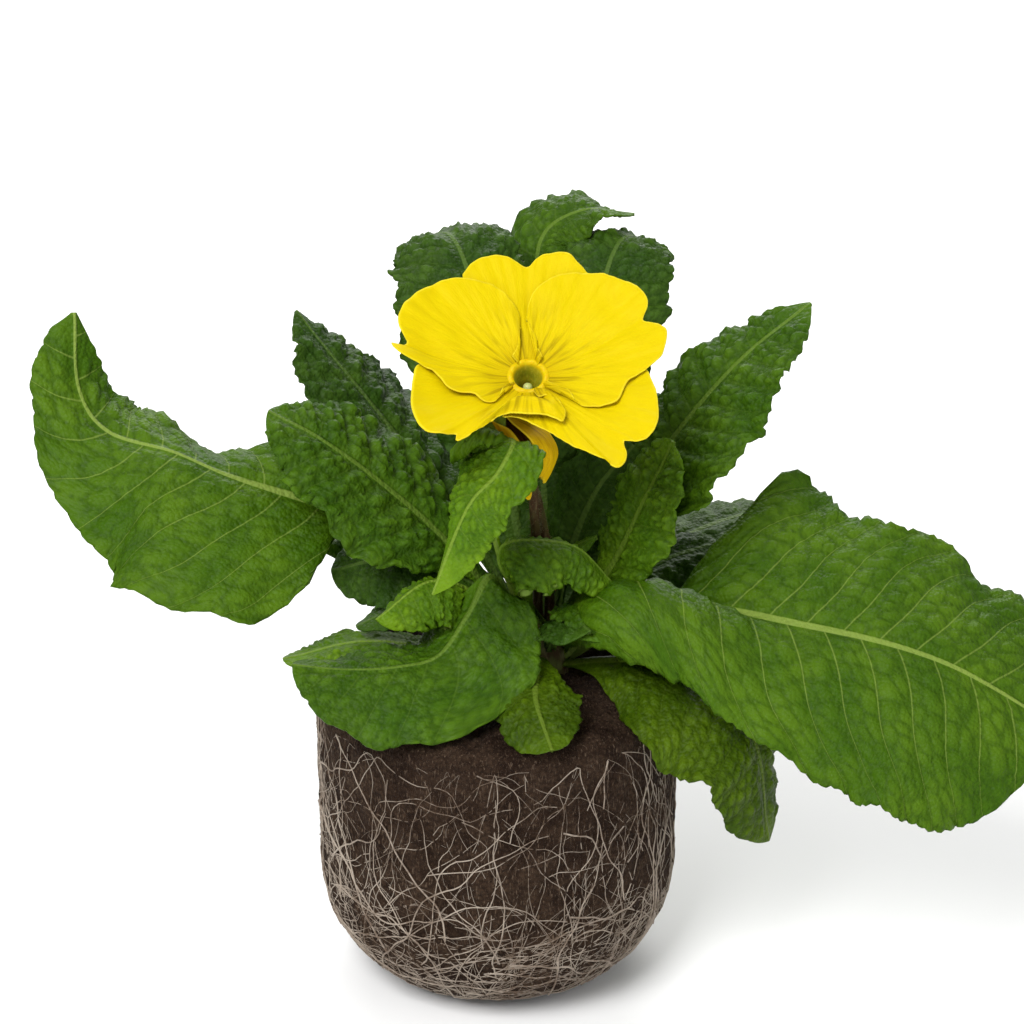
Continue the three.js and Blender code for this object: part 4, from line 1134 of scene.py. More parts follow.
LEAVES = [
    Leaf("west_great", Tier.OUTER, 165, 172, 48, 32,
         [(-8, 2, 112), (-30, 3, 126), (-51.6, 3, 133), (-69.8, 4, 139.1), (-84, 7, 144.5),
          (-102, 12, 148.3), (-110, 18, 158), (-111.5, 26, 176.5)],
         roll=[(0, 0), (0.6, 0), (0.8, -8), (1, -40)], lift=1,
         fold=([(0, 0), (0.4, -30), (1, -25)],
               [(0, 0), (0.35, 50), (0.46, 50), (0.55, 20), (0.64, -12), (0.75, 12), (1, 0)]),
         curl=(-25, -10),
         outline=([(0, 0.03), (0.3, 0.04), (0.38, 0.12), (0.42, 0.5), (0.47, 0.78), (0.56, 0.86),
                   (0.66, 0.82), (0.74, 0.66), (0.8, 0.46), (0.86, 0.3), (0.92, 0.22), (0.97, 0.14),
                   (1, 0.02)],
                  [(0, 0.03), (0.2, 0.05), (0.32, 0.4), (0.45, 0.6), (0.52, 0.55), (0.64, 0.45),
                   (0.71, 0.5), (0.8, 0.5), (0.87, 0.36), (0.94, 0.2), (1, 0.02)]),
         waves=3.5, ruffle=2, finish=GREAT, spacing=10.5, cell=5.0, pucker=0.8, pitch=1.1),
    Leaf("east_great", Tier.OUTER, 350, -12, 46, 50,
         [(44, -7, 106), (80, -21, 107), (114, -28, 100), (146, -31, 82)],
         roll=[(0, 0), (0.3, 30), (1, 25)], lift=1,
         fold=([(0, 0), (0.3, 12), (0.5, 5), (1, 0)],
               [(0, 110), (0.15, 115), (0.28, 95), (0.45, 10), (0.7, -5), (1, -10)]),
         curl=(-15, [(0, -180), (0.15, -195), (0.28, -165), (0.45, -40), (0.7, -30), (1, -20)]),
         outline=([(0, 0.03), (0.22, 0.04), (0.3, 0.5), (0.37, 0.98), (0.5, 0.86), (0.62, 0.82),
                   (0.7, 0.86), (0.76, 0.74), (0.88, 0.74), (0.97, 0.35), (1, 0.02)],
                  [(0, 0.03), (0.06, 0.4), (0.14, 0.8), (0.22, 0.85), (0.32, 0.7), (0.45, 0.7),
                   (0.6, 0.81), (0.75, 0.88), (0.87, 0.8), (0.95, 0.5), (1, 0.02)]),
         waves=3, ruffle=2, finish=GREAT, spacing=10.5, cell=5.0, pucker=0.8, pitch=1.1),
    Leaf("northeast", Tier.MIDDLE, 40, 15, 19, 27, [(31, 6, 124), (47, 9, 149), (64, 14, 168), (82, 20, 181)],
         roll=(10, 15), lift=1.5, fold=(5, 5), curl=(-20, -15), start=(0.26, 0.26), widest=0.52, point=0.8,
         waves=4, pucker=1.3),
    Leaf("northwest_low", Tier.MIDDLE, 160, 178, 22, 21,
         [(-12, 0, 121), (-30, -1, 139), (-46, 0, 151), (-59, 3, 157)],
         roll=-22, fold=(-5, 0), curl=(-30, -15), start=(0.2, 0.2), widest=0.56, point=0.6, waves=4,
         pucker=1.6),
    Leaf("southwest_broad", Tier.OUTER, 238, 208, 24, 14,
         [(4, -6, 108), (-1.7, -10, 116.4), (-7.8, -18, 108.8), (-14.9, -26, 101.2), (-24.4, -30, 99.9),
          (-37.1, -32, 99.9), (-51.8, -32, 101)],
         lift=2, fold=(-35, -10), curl=(-15, 10), start=(0.12, 0.3), widest=0.55, pucker=0.7),
    Leaf("southeast_low", Tier.OUTER, 322, -28, 18, 27,
         [(36, -14, 94), (54, -23, 90), (67, -30, 78), (71, -33, 51)],
         roll=(15, -10), fold=(5, -10), curl=(-20, -25), start=(0.14, 0), widest=0.5, point=0.6,
         ruffle=2, pucker=0.8, finish=OLIVE),
    Leaf("back_west", Tier.MIDDLE, 132, 145, 22, 26, [(-9, 15, 122), (-30, 28, 146), (-54, 40, 173)],
         roll=(0, -20), lift=-1, fold=(15, (20, -40)), curl=(-10, -15), widest=(0.62, 0.5), point=0.8,
         waves=4, ruffle=1.2, finish=SHADED_GREEN, pucker=1.25, pitch=1.0),
    Leaf("north_west_tall", Tier.MIDDLE, 106, 120, 22, 19,
         [(3, 16, 134), (-4, 33, 171), (-12, 52, 190), (-23, 72, 184)],
         roll=-10, lift=1, fold=(-5, -5), start=(0.1, 0.2), widest=0.58, waves=4, finish=SHADED_GREEN,
         pucker=1.25, pitch=1.0),
    Leaf("north_east_tall", Tier.MIDDLE, 70, 60, 16, 19,
         [(19, 20, 134), (26, 41, 169), (34, 61, 187), (46, 80, 180)],
         roll=10, lift=1, fold=(-5, -5), start=(0.2, 0.1), widest=0.58, waves=4, finish=SHADED_GREEN,
         pucker=1.25, pitch=1.0),
    Leaf("north_top", Tier.OUTER, 90, 60, 12, 11,
         [(12, 30, 128), (11, 57, 166), (12, 69, 185), (24, 71, 193), (38, 70, 192)],
         lift=3, fold=(-5, -5), start=(0.5, 0.55), widest=0.8, waves=4, ruffle=1, spacing=5.5, cell=2.6),
    Leaf("north_low", Tier.OUTER, 104, 88, 25, 25, [(12, 34, 111), (15, 66, 112), (18, 96, 92)],
         lift=-1, fold=(-5, -5), ruffle=2, pitch=1.2),
    Leaf("northeast_low", Tier.OUTER, 35, 32, 25, 25, [(46, 26, 110), (76, 44, 114), (104, 58, 102)],
         fold=(-5, -5), waves=3.5, ruffle=2, pitch=1.2),
    Leaf("northwest_broad", Tier.OUTER, 138, 138, 26, 26, [(-20, 28, 110), (-46, 52, 114), (-70, 74, 100)],
         fold=(-5, -5), waves=3.5, ruffle=2, pitch=1.2),
    Leaf("arched_west", Tier.INNER, 210, 228, 10.5, 21,
         [(2, -8, 120), (-1, -14, 138), (2, -19, 151), (4, -25.5, 159.5), (4, -31.5, 160),
          (0, -36, 154), (-7.5, -40, 146), (-15.8, -43, 124.7)],
         roll=(-20, -10), fold=(-5, (10, -40)), curl=(-20, -25),
         outline=([(0, 0.14), (0.3, 0.16), (0.4, 0.3), (0.5, 0.6), (0.64, 0.85), (0.72, 1), (0.8, 1),
                   (0.9, 0.75), (0.96, 0.45), (1, 0.05)],
                  [(0, 0.1), (0.5, 0.11), (0.57, 0.4), (0.62, 0.88), (0.67, 1), (0.74, 0.86), (0.8, 0.52),
                   (0.88, 0.22), (1, 0.03)]),
         waves=4, ruffle=0.8, finish=YOUNG, spacing=6.5, cell=2.8, pucker=0.9, pitch=0.75),
    Leaf("east_upright", Tier.INNER, 340, -5, 13, 17, [(28, -5, 114), (38, -6, 136), (45, -7, 152)],
         roll=(35, 20), fold=(10, 5), curl=(-15, -35), widest=0.62, waves=4, ruffle=0.8, spacing=6.0,
         cell=2.6, pitch=0.75, pucker=1.2, finish=LIT_GREEN),
    Leaf("southwest_small", Tier.MIDDLE, 200, 210, 14, 10,
         [(-6, -5, 110), (-18, -14, 116.5), (-31, -22, 109)],
         fold=(-25, -20), curl=(-60, -40), start=(0.3, 0.3), waves=4, ruffle=0.6, finish=YOUNG,
         spacing=5.0, cell=2.2, pitch=0.65),
    Leaf("west_small", Tier.MIDDLE, 192, 185, 8, 8, [(-10, -4, 107), (-24, -6, 107), (-37, -8, 101)],
         fold=(-10, 0), curl=(-20, -10), start=(0.35, 0.35), widest=0.66, waves=4, ruffle=0.6,
         finish=SHADED_GREEN, spacing=4.5, cell=2.0, pitch=0.65, pucker=0.8),
    Leaf("south_recurved", Tier.INNER, 262, 0, 10, 15,
         [(6, -7.5, 109), (0.5, -11, 119), (1, -13, 126), (8, -14.5, 128.5), (21, -14, 126), (31, -14, 115)],
         roll=(20, 5), fold=(-30, -12), curl=(-40, -62), start=(0.3, 0.08), widest=(0.6, 0.5), point=0.45,
         waves=4, ruffle=1.0, spacing=6.0, cell=2.6, pitch=0.6, finish=LIT_GREEN),
    Leaf("south_small", Tier.MIDDLE, 300, 300, 9, 10, [(19, -9, 107), (24, -16, 110), (30, -26, 105)],
         curl=(-25, -25), ruffle=0.6, spacing=4.0, cell=2.0, pitch=0.6),
    Leaf("south_low", Tier.OUTER, 270, 272, 12, 12, [(11, -16, 95.5), (10, -36, 93.5), (14, -51, 86)],
         fold=(-10, -19), widest=0.62, ruffle=0.8, spacing=5.0, cell=2.3, pitch=0.65, finish=OLIVE),
    Leaf("east_small", Tier.MIDDLE, 8, 10, 12, 12, [(33, 7, 107), (46, 11, 113), (59, 14, 116)],
         roll=20, lift=-1, curl=(-25, -25), widest=0.64, waves=4, ruffle=0.8, finish=SHADED_GREEN,
         spacing=5.0, cell=2.3, pitch=0.7),
    Leaf("inner_small", Tier.INNER, 30, -10, 7, 7, [(17, 1, 112), (20, 0, 120), (26, -2, 124)],
         curl=(-30, -30), widest=0.62, ruffle=0.5, spacing=3.5, cell=1.8, pitch=0.5),
    Leaf("west_pale", Tier.OUTER, 200, 188, 12, 12, [(-16, -7, 95), (-36, -10, 98), (-56, -13, 94)],
         lift=-1.5, fold=(-5, -5), ruffle=0.8, finish=YOUNG, spacing=5.0, cell=2.3, pitch=0.7, pucker=0.7),
    # The inner leaves below fill the gaps between the outer leaves, where only shade shows; most wear the
    # painted-shade greens.
    Leaf("inner_east", Tier.INNER, 20, 20, 14, 16, [(19, 5, 116), (26, 8, 133), (36, 10, 145)],
         roll=30, fold=(0, 0), waves=4, ruffle=0.8, finish=SHADED_GREEN, spacing=5.0, cell=2.3, pitch=1.0,
         in_frame=False),
    Leaf("inner_west", Tier.INNER, 190, 185, 15, 15,
         [(-2, 0, 108), (-16, -1, 116), (-30, 0, 117), (-44, 4, 112)],
         roll=-35, fold=(-5, -5), start=(0.1, 0.1), waves=4, ruffle=0.8, finish=SHADED_GREEN, spacing=5.0, cell=2.3,
         pitch=1.0, in_frame=False),
    Leaf("inner_south", Tier.MIDDLE, 285, 285, 9, 12, [(15, -9, 102), (19, -16, 108), (24, -27, 108)],
         fold=(-20, -20), waves=3, ruffle=0.5, finish=SHADED_GREEN, spacing=4.0, cell=2.0, pitch=0.9,
         in_frame=False),
    Leaf("inner_southeast", Tier.MIDDLE, 335, 340, 15, 13, [(25, -6, 99), (38, -11, 101), (53, -17, 97)],
         fold=(-5, -5), waves=3, ruffle=0.8, finish=OLIVE, spacing=5.0, cell=2.3, pitch=1.0,
         in_frame=False),
    Leaf("inner_north", Tier.MIDDLE, 95, 95, 24, 24, [(13, 12, 118), (12, 20, 140), (12, 26, 158)],
         fold=(-5, -5), start=(0.02, 0.02), widest=0.45, waves=4, ruffle=1.0, finish=SHADED_GREEN, pitch=1.3,
         in_frame=False),
    Leaf("inner_back", Tier.OUTER, 60, 62, 20, 20, [(19, 20, 98), (26, 38, 104), (36, 56, 104)],
         fold=(-5, -5), start=(0.02, 0.02), widest=0.4, waves=4, ruffle=1.0, finish=SHADED_GREEN, pitch=1.3,
         in_frame=False),
]


BLOOM_OUT = (0.02, -0.62, 0.78)
BLOOM_TUBE = 19.1
BLOOM_AXES = Axes.facing((8.0, -24.0, 175.0), BLOOM_OUT)
BLOOM_FOOT = Axes.facing(tuple(BLOOM_AXES.origin - BLOOM_TUBE * BLOOM_AXES.out), BLOOM_OUT)
BUD_AXES = Axes.facing((-3.9, -17.5, 166.3), (0.5, -0.16, -0.85))
CROWN_AXES = Axes(np.array([CROWN_X, 0.0, 0.0]), *np.eye(3))


@dataclass(frozen=True)
class Lobe:
    """One notched lobe of the open bloom.

    turn is the stretch of the throat that it springs from, in degrees. seen is its margin as it looks
    from the front, right of and above the throat, and notch is where its cleft lies along the margin.
    lift tells how far it stands forward along the margin, and crest how high a ridge runs inside it.
    """

    name: str
    turn: Pair
    seen: list[Pair]
    notch: float
    lift: Course = 0.0
    crest: Course = 0.0

    THROAT = 3.7
    RISE = 8.0
    REACH = 35.0
    THICK = 0.35
    UP_SEEN = 0.858
    OUT_SEEN = 0.507
    DISTANCE = 661.5
    ROUNDS = 5
    STEPS = (140, 36)
    CREST = (0.2, 0.62)
    BUCKLE = 0.55
    BUCKLE_SIZE = 16.0
    CLEFT = 0.9
    CLEFT_WIDTH = 0.035
    RIBS = 26
    RIB_HEIGHT = 0.05
    FRILL = 0.55
    FRILL_TURNS = 9

    def spread(self, radius: np.ndarray) -> np.ndarray:
        """Returns how far the saucer of the bloom stands in front of the throat at a radius."""
        return self.RISE * (radius / self.REACH) ** 1.5

    def margin(self, s: np.ndarray) -> np.ndarray:
        """Lays the margin on the saucer so that it looks from the front as it should.

        Args:
            s: shares along the margin.

        Returns:
            How far right and up each place lies in the plane of the bloom.
        """
        line = Line.through([(x, y, 0.0) for x, y in self.seen])
        seen = line.at(s)[0][:, :2]
        flat = seen.copy()
        for _ in range(self.ROUNDS):
            forward = self.spread(np.linalg.norm(flat, axis=1)) + course_at(self.lift, s)
            near = 1 + (self.OUT_SEEN * flat[:, 1] - self.UP_SEEN * forward) / self.DISTANCE
            up = (seen[:, 1] * near - self.OUT_SEEN * forward) / self.UP_SEEN
            flat = np.stack([seen[:, 0] * near, up], 1)
        return flat

    def build(self, seed: float) -> bpy.types.Object:
        """Makes the lobe and fixes it to the frame.

        Args:
            seed: sets one lobe apart from another.

        Returns:
            The piece.
        """
        along, across = self.STEPS
        t, s = np.meshgrid(np.linspace(0, 1, across + 1), np.linspace(0, 1, along + 1), indexing="ij")
        around = (self.turn[0] + (self.turn[1] - self.turn[0]) * s[0]) * DEG
        foot = self.THROAT * np.stack([np.cos(around), np.sin(around)], 1)
        margin = self.margin(s[0])
        flat = foot + (margin - foot) * t[..., None]
        radius = np.linalg.norm(flat, axis=2)
        height = self.spread(radius) - self.spread(self.THROAT)
        height = height + course_at(self.lift, s) * smooth(t, 0, 0.6)
        height = height + course_at(self.crest, s) * bell(t, *self.CREST)
        field = np.concatenate([flat, 0 * t[..., None]], 2)
        buckle = self.BUCKLE * soft_noise(field / self.BUCKLE_SIZE, 4.0, 2)
        height = height + buckle * smooth(radius, 5, 20)
        height = height - self.CLEFT * bell(s, self.CLEFT_WIDTH, self.notch) * smooth(t, 0.25, 0.9)
        ribs = np.sin(TURN * self.RIBS * s + 1.5 * np.sin(9 * s + seed))
        height = height + self.RIB_HEIGHT * ribs * smooth(t, 0.15, 0.5)
        frill = soft_noise(np.stack([self.FRILL_TURNS * s, 0 * s, 0 * s], 2), seed, 3)
        height = height + self.FRILL * frill * t**7 * smooth(radius, 6, 16)
        points = BLOOM_AXES.place(flat[..., 0], flat[..., 1], height)
        middle = 0.5 * sum(self.turn) * DEG
        angle = np.arctan2(flat[..., 1], flat[..., 0]) - middle
        angle = middle + np.mod(angle + math.pi, TURN) - math.pi
        edge = (1 - t) * np.linalg.norm(margin - foot, axis=1)
        fan = np.stack([0 * t, angle, radius], -1)
        if self.turn[1] > self.turn[0]:
            points, fan, edge = points[:, ::-1], fan[:, ::-1], edge[:, ::-1]
        piece = sheet_from("lobe_" + self.name, points)
        note(piece, "fan", fan)
        note(piece, "edge", edge)
        dress(piece, YELLOW_PETAL.material(), YELLOW_PETAL.material())
        thicken(piece, self.THICK)
        return hold(piece, "petal", "bloom_corolla")


LOBES = [
    Lobe("top", (125, 55),
         [(-2.4, 4.8), (-9.3, 15.5), (-13.7, 21.9), (-15.6, 25.4), (-14.6, 27.2), (-12.7, 29.2),
          (-10.2, 30.4), (-7.3, 30.8), (-4.9, 30.4), (-2.4, 29.2), (-1, 28.2), (0.1, 27.9), (1.2, 28.3),
          (2.7, 29.9), (4.6, 31), (7.3, 31.4), (9.8, 31.3), (11.5, 30.2), (12.9, 28.4), (14.6, 26.7),
          (16.1, 23.3), (12.2, 15.5), (2.4, 4.8)],
         notch=0.5, lift=[(0, -0.9), (0.25, -0.9), (0.4, 0), (0.6, 0), (0.75, -0.9), (1, -0.9)]),
    Lobe("left", (125, 215),
         [(-2.9, 4), (-3.9, 5.4), (-2.9, 6.7), (-2.3, 8.7), (-1.9, 11.6), (-1.5, 14), (-1.9, 16),
          (-2.9, 18), (-4.4, 19.9), (-6.3, 21.9), (-8.8, 23.5), (-11.7, 24.4), (-14.6, 24.9),
          (-17.1, 25), (-20.5, 24.4), (-24.4, 22.9), (-27.3, 21.1), (-29.8, 19.2), (-31.2, 17.2),
          (-31.9, 15), (-31.7, 13.1), (-31.1, 11.4), (-30.2, 9.9), (-29.7, 9.1), (-30.8, 8.4),
          (-32.3, 8.3), (-33.9, 9), (-32.7, 7), (-31, 5.4), (-28.3, 4), (-26.1, 2.8), (-23.9, 1.9),
          (-22, 0.1), (-20.7, -1.6), (-19, -3), (-17.3, -3.6), (-15.1, -3.8), (-13.4, -4.4),
          (-12, -5.7), (-10.5, -6.3), (-8.5, -6), (-7.2, -4.7), (-6.7, -3), (-6.2, -2.6), (-4.1, -1.6)],
         notch=0.585, lift=[(0, 0.9), (0.25, 0.9), (0.4, 0.2), (0.6, 0.2), (0.72, 0.9), (1, 0.9)]),
    Lobe("right", (50, -40),
         [(3.7, 5), (3, 6.5), (2.3, 7.8), (2.4, 8.7), (1.7, 10.6), (0.7, 12.6), (0, 14.5), (0.1, 16.5),
          (0.7, 18.9), (2, 21.4), (3.9, 23.3), (6.8, 25), (9.8, 25.9), (13.2, 26.1), (16.1, 26),
          (19.5, 25.7), (22.9, 24.5), (25.9, 23.2), (28.3, 21.4), (29.5, 19.4), (29.8, 17.7),
          (29.2, 16), (28.4, 14.4), (29.3, 13.7), (31.7, 13.2), (33.4, 12.3), (34.3, 11.1),
          (34.1, 8.7), (33.4, 6.2), (32.7, 4.8), (30.7, 2.8), (28.8, 1.5), (26.3, 0.1), (24.4, -1.3),
          (23.4, -3), (22.4, -5.2), (21.2, -6.7), (19, -7.4), (16.1, -7.8), (13.2, -7.6),
          (11.5, -6.4), (10.5, -4.5), (9.3, -3.2), (7.9, -2.8), (4.9, -1.3)],
         notch=0.515, lift=[(0, 0.9), (0.25, 0.9), (0.4, 0.2), (0.6, 0.2), (0.72, 0.9), (1, 0.9)]),
    Lobe("lower_left", (205, 300),
         [(-4.4, -1.6), (-11.2, -1.1), (-19.5, 0.9), (-25.4, 2.8), (-27.6, 2.3), (-28.5, -0.1),
          (-29, -3), (-29.3, -6.4), (-29, -8.9), (-28, -11.3), (-26.1, -13.3), (-23.4, -14.1),
          (-20.5, -14.1), (-18.4, -13.9), (-18.6, -15.5), (-16.1, -15), (-13.7, -13.8),
          (-11.2, -12.3), (-9.3, -10.8), (-6.8, -9.6), (-4.4, -9.1), (-1.5, -9.3), (1.5, -9.6),
          (3.9, -10.3), (6.3, -11.1), (8, -11.6), (8.8, -9.1), (7.8, -7.2), (6.3, -5.5),
          (4.4, -4.9), (2.4, -5.3), (1.2, -3.8)],
         notch=0.52,
         lift=[(0, -0.9), (0.3, -0.9), (0.45, 0), (0.6, 0.4), (0.78, 1.8), (0.9, 2.2), (1, 1.2)],
         crest=[(0, 0), (0.5, 0), (0.62, 2.4), (0.8, 2.4), (0.9, 0.8), (1, 0)]),
    Lobe("lower_right", (280, 345),
         [(1, -3.6), (-1.5, -5.5), (-5.4, -8.6), (-6.6, -9.8), (-3.4, -9.9), (-0.5, -11.1),
          (2.4, -12.8), (5.4, -14.7), (8.3, -16.7), (11.2, -18.1), (14.1, -19.6), (17.1, -20.8),
          (18.5, -21.8), (19.5, -23), (21.2, -23.3), (22.7, -22), (23.4, -20.1), (23, -18.1),
          (22.7, -16.6), (24.4, -16.8), (27.3, -16.4), (29.3, -15.2), (30.7, -13.3), (31.6, -10.3),
          (31.5, -6.9), (31, -3.5), (30, -0.6), (29, 1.5), (25.9, 2.3), (17, 0.4), (7.3, -1.1),
          (4.9, -1.6)],
         notch=0.47, lift=[(0, -0.9), (0.2, -0.9), (0.3, 0), (0.65, 0), (0.8, -0.9), (1, -0.9)]),
]


@dataclass(frozen=True)
class BudPetal:
    """One furled petal of the opening bloom: the angles that it spans and its radius along its length."""

    name: str
    span: Pair
    length: float
    radius: Course
    flare: float = 0.0

    THICK = 0.35
    STEPS = (40, 52)
    FOOT = 1.5
    CLEFT = 0.08
    CLEFT_WIDTH = 0.12
    FOLD = 0.28
    WAVE = 0.5

    def build(self, seed: float) -> bpy.types.Object:
        """Makes the petal and fixes it to the frame.

        Args:
            seed: sets one petal apart from another.

        Returns:
            The piece.
        """
        along, across = self.STEPS
        t, v = np.meshgrid(np.linspace(0, 1, along + 1), np.linspace(-1, 1, across + 1), indexing="ij")
        half_span = 0.5 * (self.span[1] - self.span[0])
        angle = 0.5 * sum(self.span) + half_span * v * (0.55 + 0.45 * smooth(t, 0, 0.4))
        angle = angle * DEG
        cleft = self.CLEFT * bell(v, self.CLEFT_WIDTH)
        outline = self.length * (1 - 0.22 * np.abs(v) ** 3 - cleft)
        height = self.FOOT + (outline - self.FOOT) * t
        folds = self.FOLD * np.sin(7 * v + seed) * smooth(t, 0.2, 0.7)
        field = np.stack([2.2 * v, 1.2 * t, 0 * t], 2)
        wave = self.WAVE * soft_noise(field, seed, 2) * smooth(t, 0.3, 0.9)
        radius = course_at(self.radius, t) + folds + wave
        radius = radius + self.flare * np.abs(v) ** 4 * smooth(t, 0.2, 0.6)
        piece = sheet_from("furled_" + self.name, BUD_AXES.ring(angle, radius, height))
        note(piece, "fan", np.stack([0 * t, angle, height], -1))
        note(piece, "edge", np.minimum((1 - np.abs(v)) * 7, (1 - t) * self.length))
        # The inner faces take the painted-shade finish of the furled bud.
        dress(piece, BUD_PETAL.material(), BUD_INSIDE_SHADED.material())
        thicken(piece, self.THICK)
        return hold(piece, "bud_petal", "bud_corolla")


BUD_PETALS = [
    BudPetal("front", (132, 292), 27.5,
             [(0, 2.2), (0.15, 4.2), (0.35, 7), (0.6, 8), (0.82, 6.6), (1, 3.2)], 0.8),
    BudPetal("right", (10, 122), 26.0,
             [(0, 2.0), (0.15, 4.2), (0.3, 6.8), (0.42, 9), (0.62, 11), (0.82, 10), (0.94, 6.5), (1, 4)]),
    BudPetal("under", (262, 372), 25.0,
             [(0, 1.9), (0.15, 3.8), (0.35, 6.4), (0.6, 7.6), (0.82, 6.4), (1, 3)]),
    BudPetal("inner", (-50, 60), 24.0,
             [(0, 1.8), (0.15, 3.6), (0.35, 5.8), (0.6, 6.6), (0.82, 5.4), (1, 2.4)]),
]


@dataclass(frozen=True)
class Calyx:
    """Ribbed sleeve with five points round the foot of a bloom."""

    name: str
    axes: Axes
    length: float
    radius: float
    flare: float

    TEETH = 5
    POINT = 4.6
    THICK = 0.45
    FOOT = -1.3
    NECK = 0.7
    RIB_HEIGHT = 0.35
    STREAK_HEIGHT = 0.06
    STEPS = (43, 100)

    def build(self) -> bpy.types.Object:
        """Makes the calyx and fixes it to the frame.

        Returns:
            The piece.
        """
        along, round_about = self.STEPS
        turn = np.linspace(0, TURN, round_about + 1)
        v, angle = np.meshgrid(np.linspace(0, 1, along + 1), turn, indexing="ij")
        near = np.abs(np.mod(angle * self.TEETH / TURN + 0.5, 1) - 0.5) * 2
        tooth = self.POINT * (1 - near) ** 1.15
        height = self.FOOT + (self.length - self.FOOT + tooth) * v
        body = smooth(height, self.FOOT, 0.35 * self.length)
        radius = self.NECK + (0.72 * self.radius - self.NECK) * smooth(height, self.FOOT, 0.3)
        radius = radius + 0.3 * self.radius * body
        radius = radius + self.RIB_HEIGHT * np.cos(self.TEETH * angle) * body * smooth(v, 1.0, 0.75)
        radius = radius + self.STREAK_HEIGHT * np.cos(4 * self.TEETH * angle) * body
        radius = radius + 1.1 * self.flare * smooth(v, 0.6, 1.0)
        piece = closed_from("fine_" + self.name, self.axes.ring(angle, radius, height))
        dress(piece, CALYX_FINISH.material())
        thicken(piece, self.THICK)
        return hold(piece, "calyx", self.name)


@dataclass(frozen=True)
class FlowerStem:
    """A flower stem from the crown to just behind a calyx, with its down."""

    name: str
    path: Sequence[Point]
    axes: Axes
    radius: float = 1.35
    taper: float = 0.85
    hairs: int = 520
    hair: float = 0.8

    STEPS = (139, 18)
    END_SHARE = 0.01
    EMBEDDED = 0.97
    HAIR_RADII = (0.07, 0.05, 0.02)

    def build(self, seed: int) -> None:
        """Makes the stem and its down, and fixes both to the frame.

        Args:
            seed: sets one stem apart from another.
        """
        foot, face = self.axes.origin, self.axes.out
        line = Line.through([*self.path, tuple(foot - 4.0 * face), tuple(foot - 1.5 * face)])
        along, round_about = self.STEPS
        steps = np.concatenate([[0], np.linspace(0, 1, along + 1), [1]])
        share, angle = np.meshgrid(steps, np.linspace(0, TURN, round_about + 1), indexing="ij")
        stand = np.ones(share.shape)
        stand[[0, -1]] = self.END_SHARE
        piece = closed_from("fine_" + self.name, self.skin(line, share, angle, stand))
        dress(piece, STEM_FINISH.material())
        hold(piece, "stem", self.name)
        dice = np.random.default_rng(seed)
        share, angle = dice.uniform(0.02, 0.97, self.hairs), dice.uniform(0, TURN, self.hairs)
        roots = self.skin(line, share, angle, self.EMBEDDED + 0 * share)
        tip_share = np.clip(share + dice.normal(0, 0.004, self.hairs), 0, 1)
        tip_stand = 1 + self.hair * dice.uniform(0.5, 1.2, self.hairs) / self.radius
        tips = self.skin(line, tip_share, angle, tip_stand)
        routes = [np.stack([root, 0.5 * (root + tip), tip]) for root, tip in zip(roots, tips)]
        down = threads_from("down_" + self.name, routes, [np.array(self.HAIR_RADII)] * self.hairs)
        dress(down, STEM_FINISH.down())
        hold(down, "stem")

    def skin(self, line: Line, share: np.ndarray, angle: np.ndarray, stand: np.ndarray) -> np.ndarray:
        """Finds places on the stem.

        Args:
            line: the stem's middle.
            share: how far along it.
            angle: the direction round it.
            stand: the distance from the middle, as a share of the radius.

        Returns:
            The places.
        """
        place, way = line.at(share)
        side = unit(np.cross(way, np.array([0.0, 1.0, 0.0]) + 0 * way))
        ahead = np.cross(way, side)
        radius = self.radius * (1 - (1 - self.taper) * share) * stand
        radius = radius * (1 + 0.05 * np.sin(5 * angle + 14 * share) + 0.04 * np.sin(31 * share))
        out = side * np.cos(angle)[..., None] + ahead * np.sin(angle)[..., None]
        return place + radius[..., None] * out


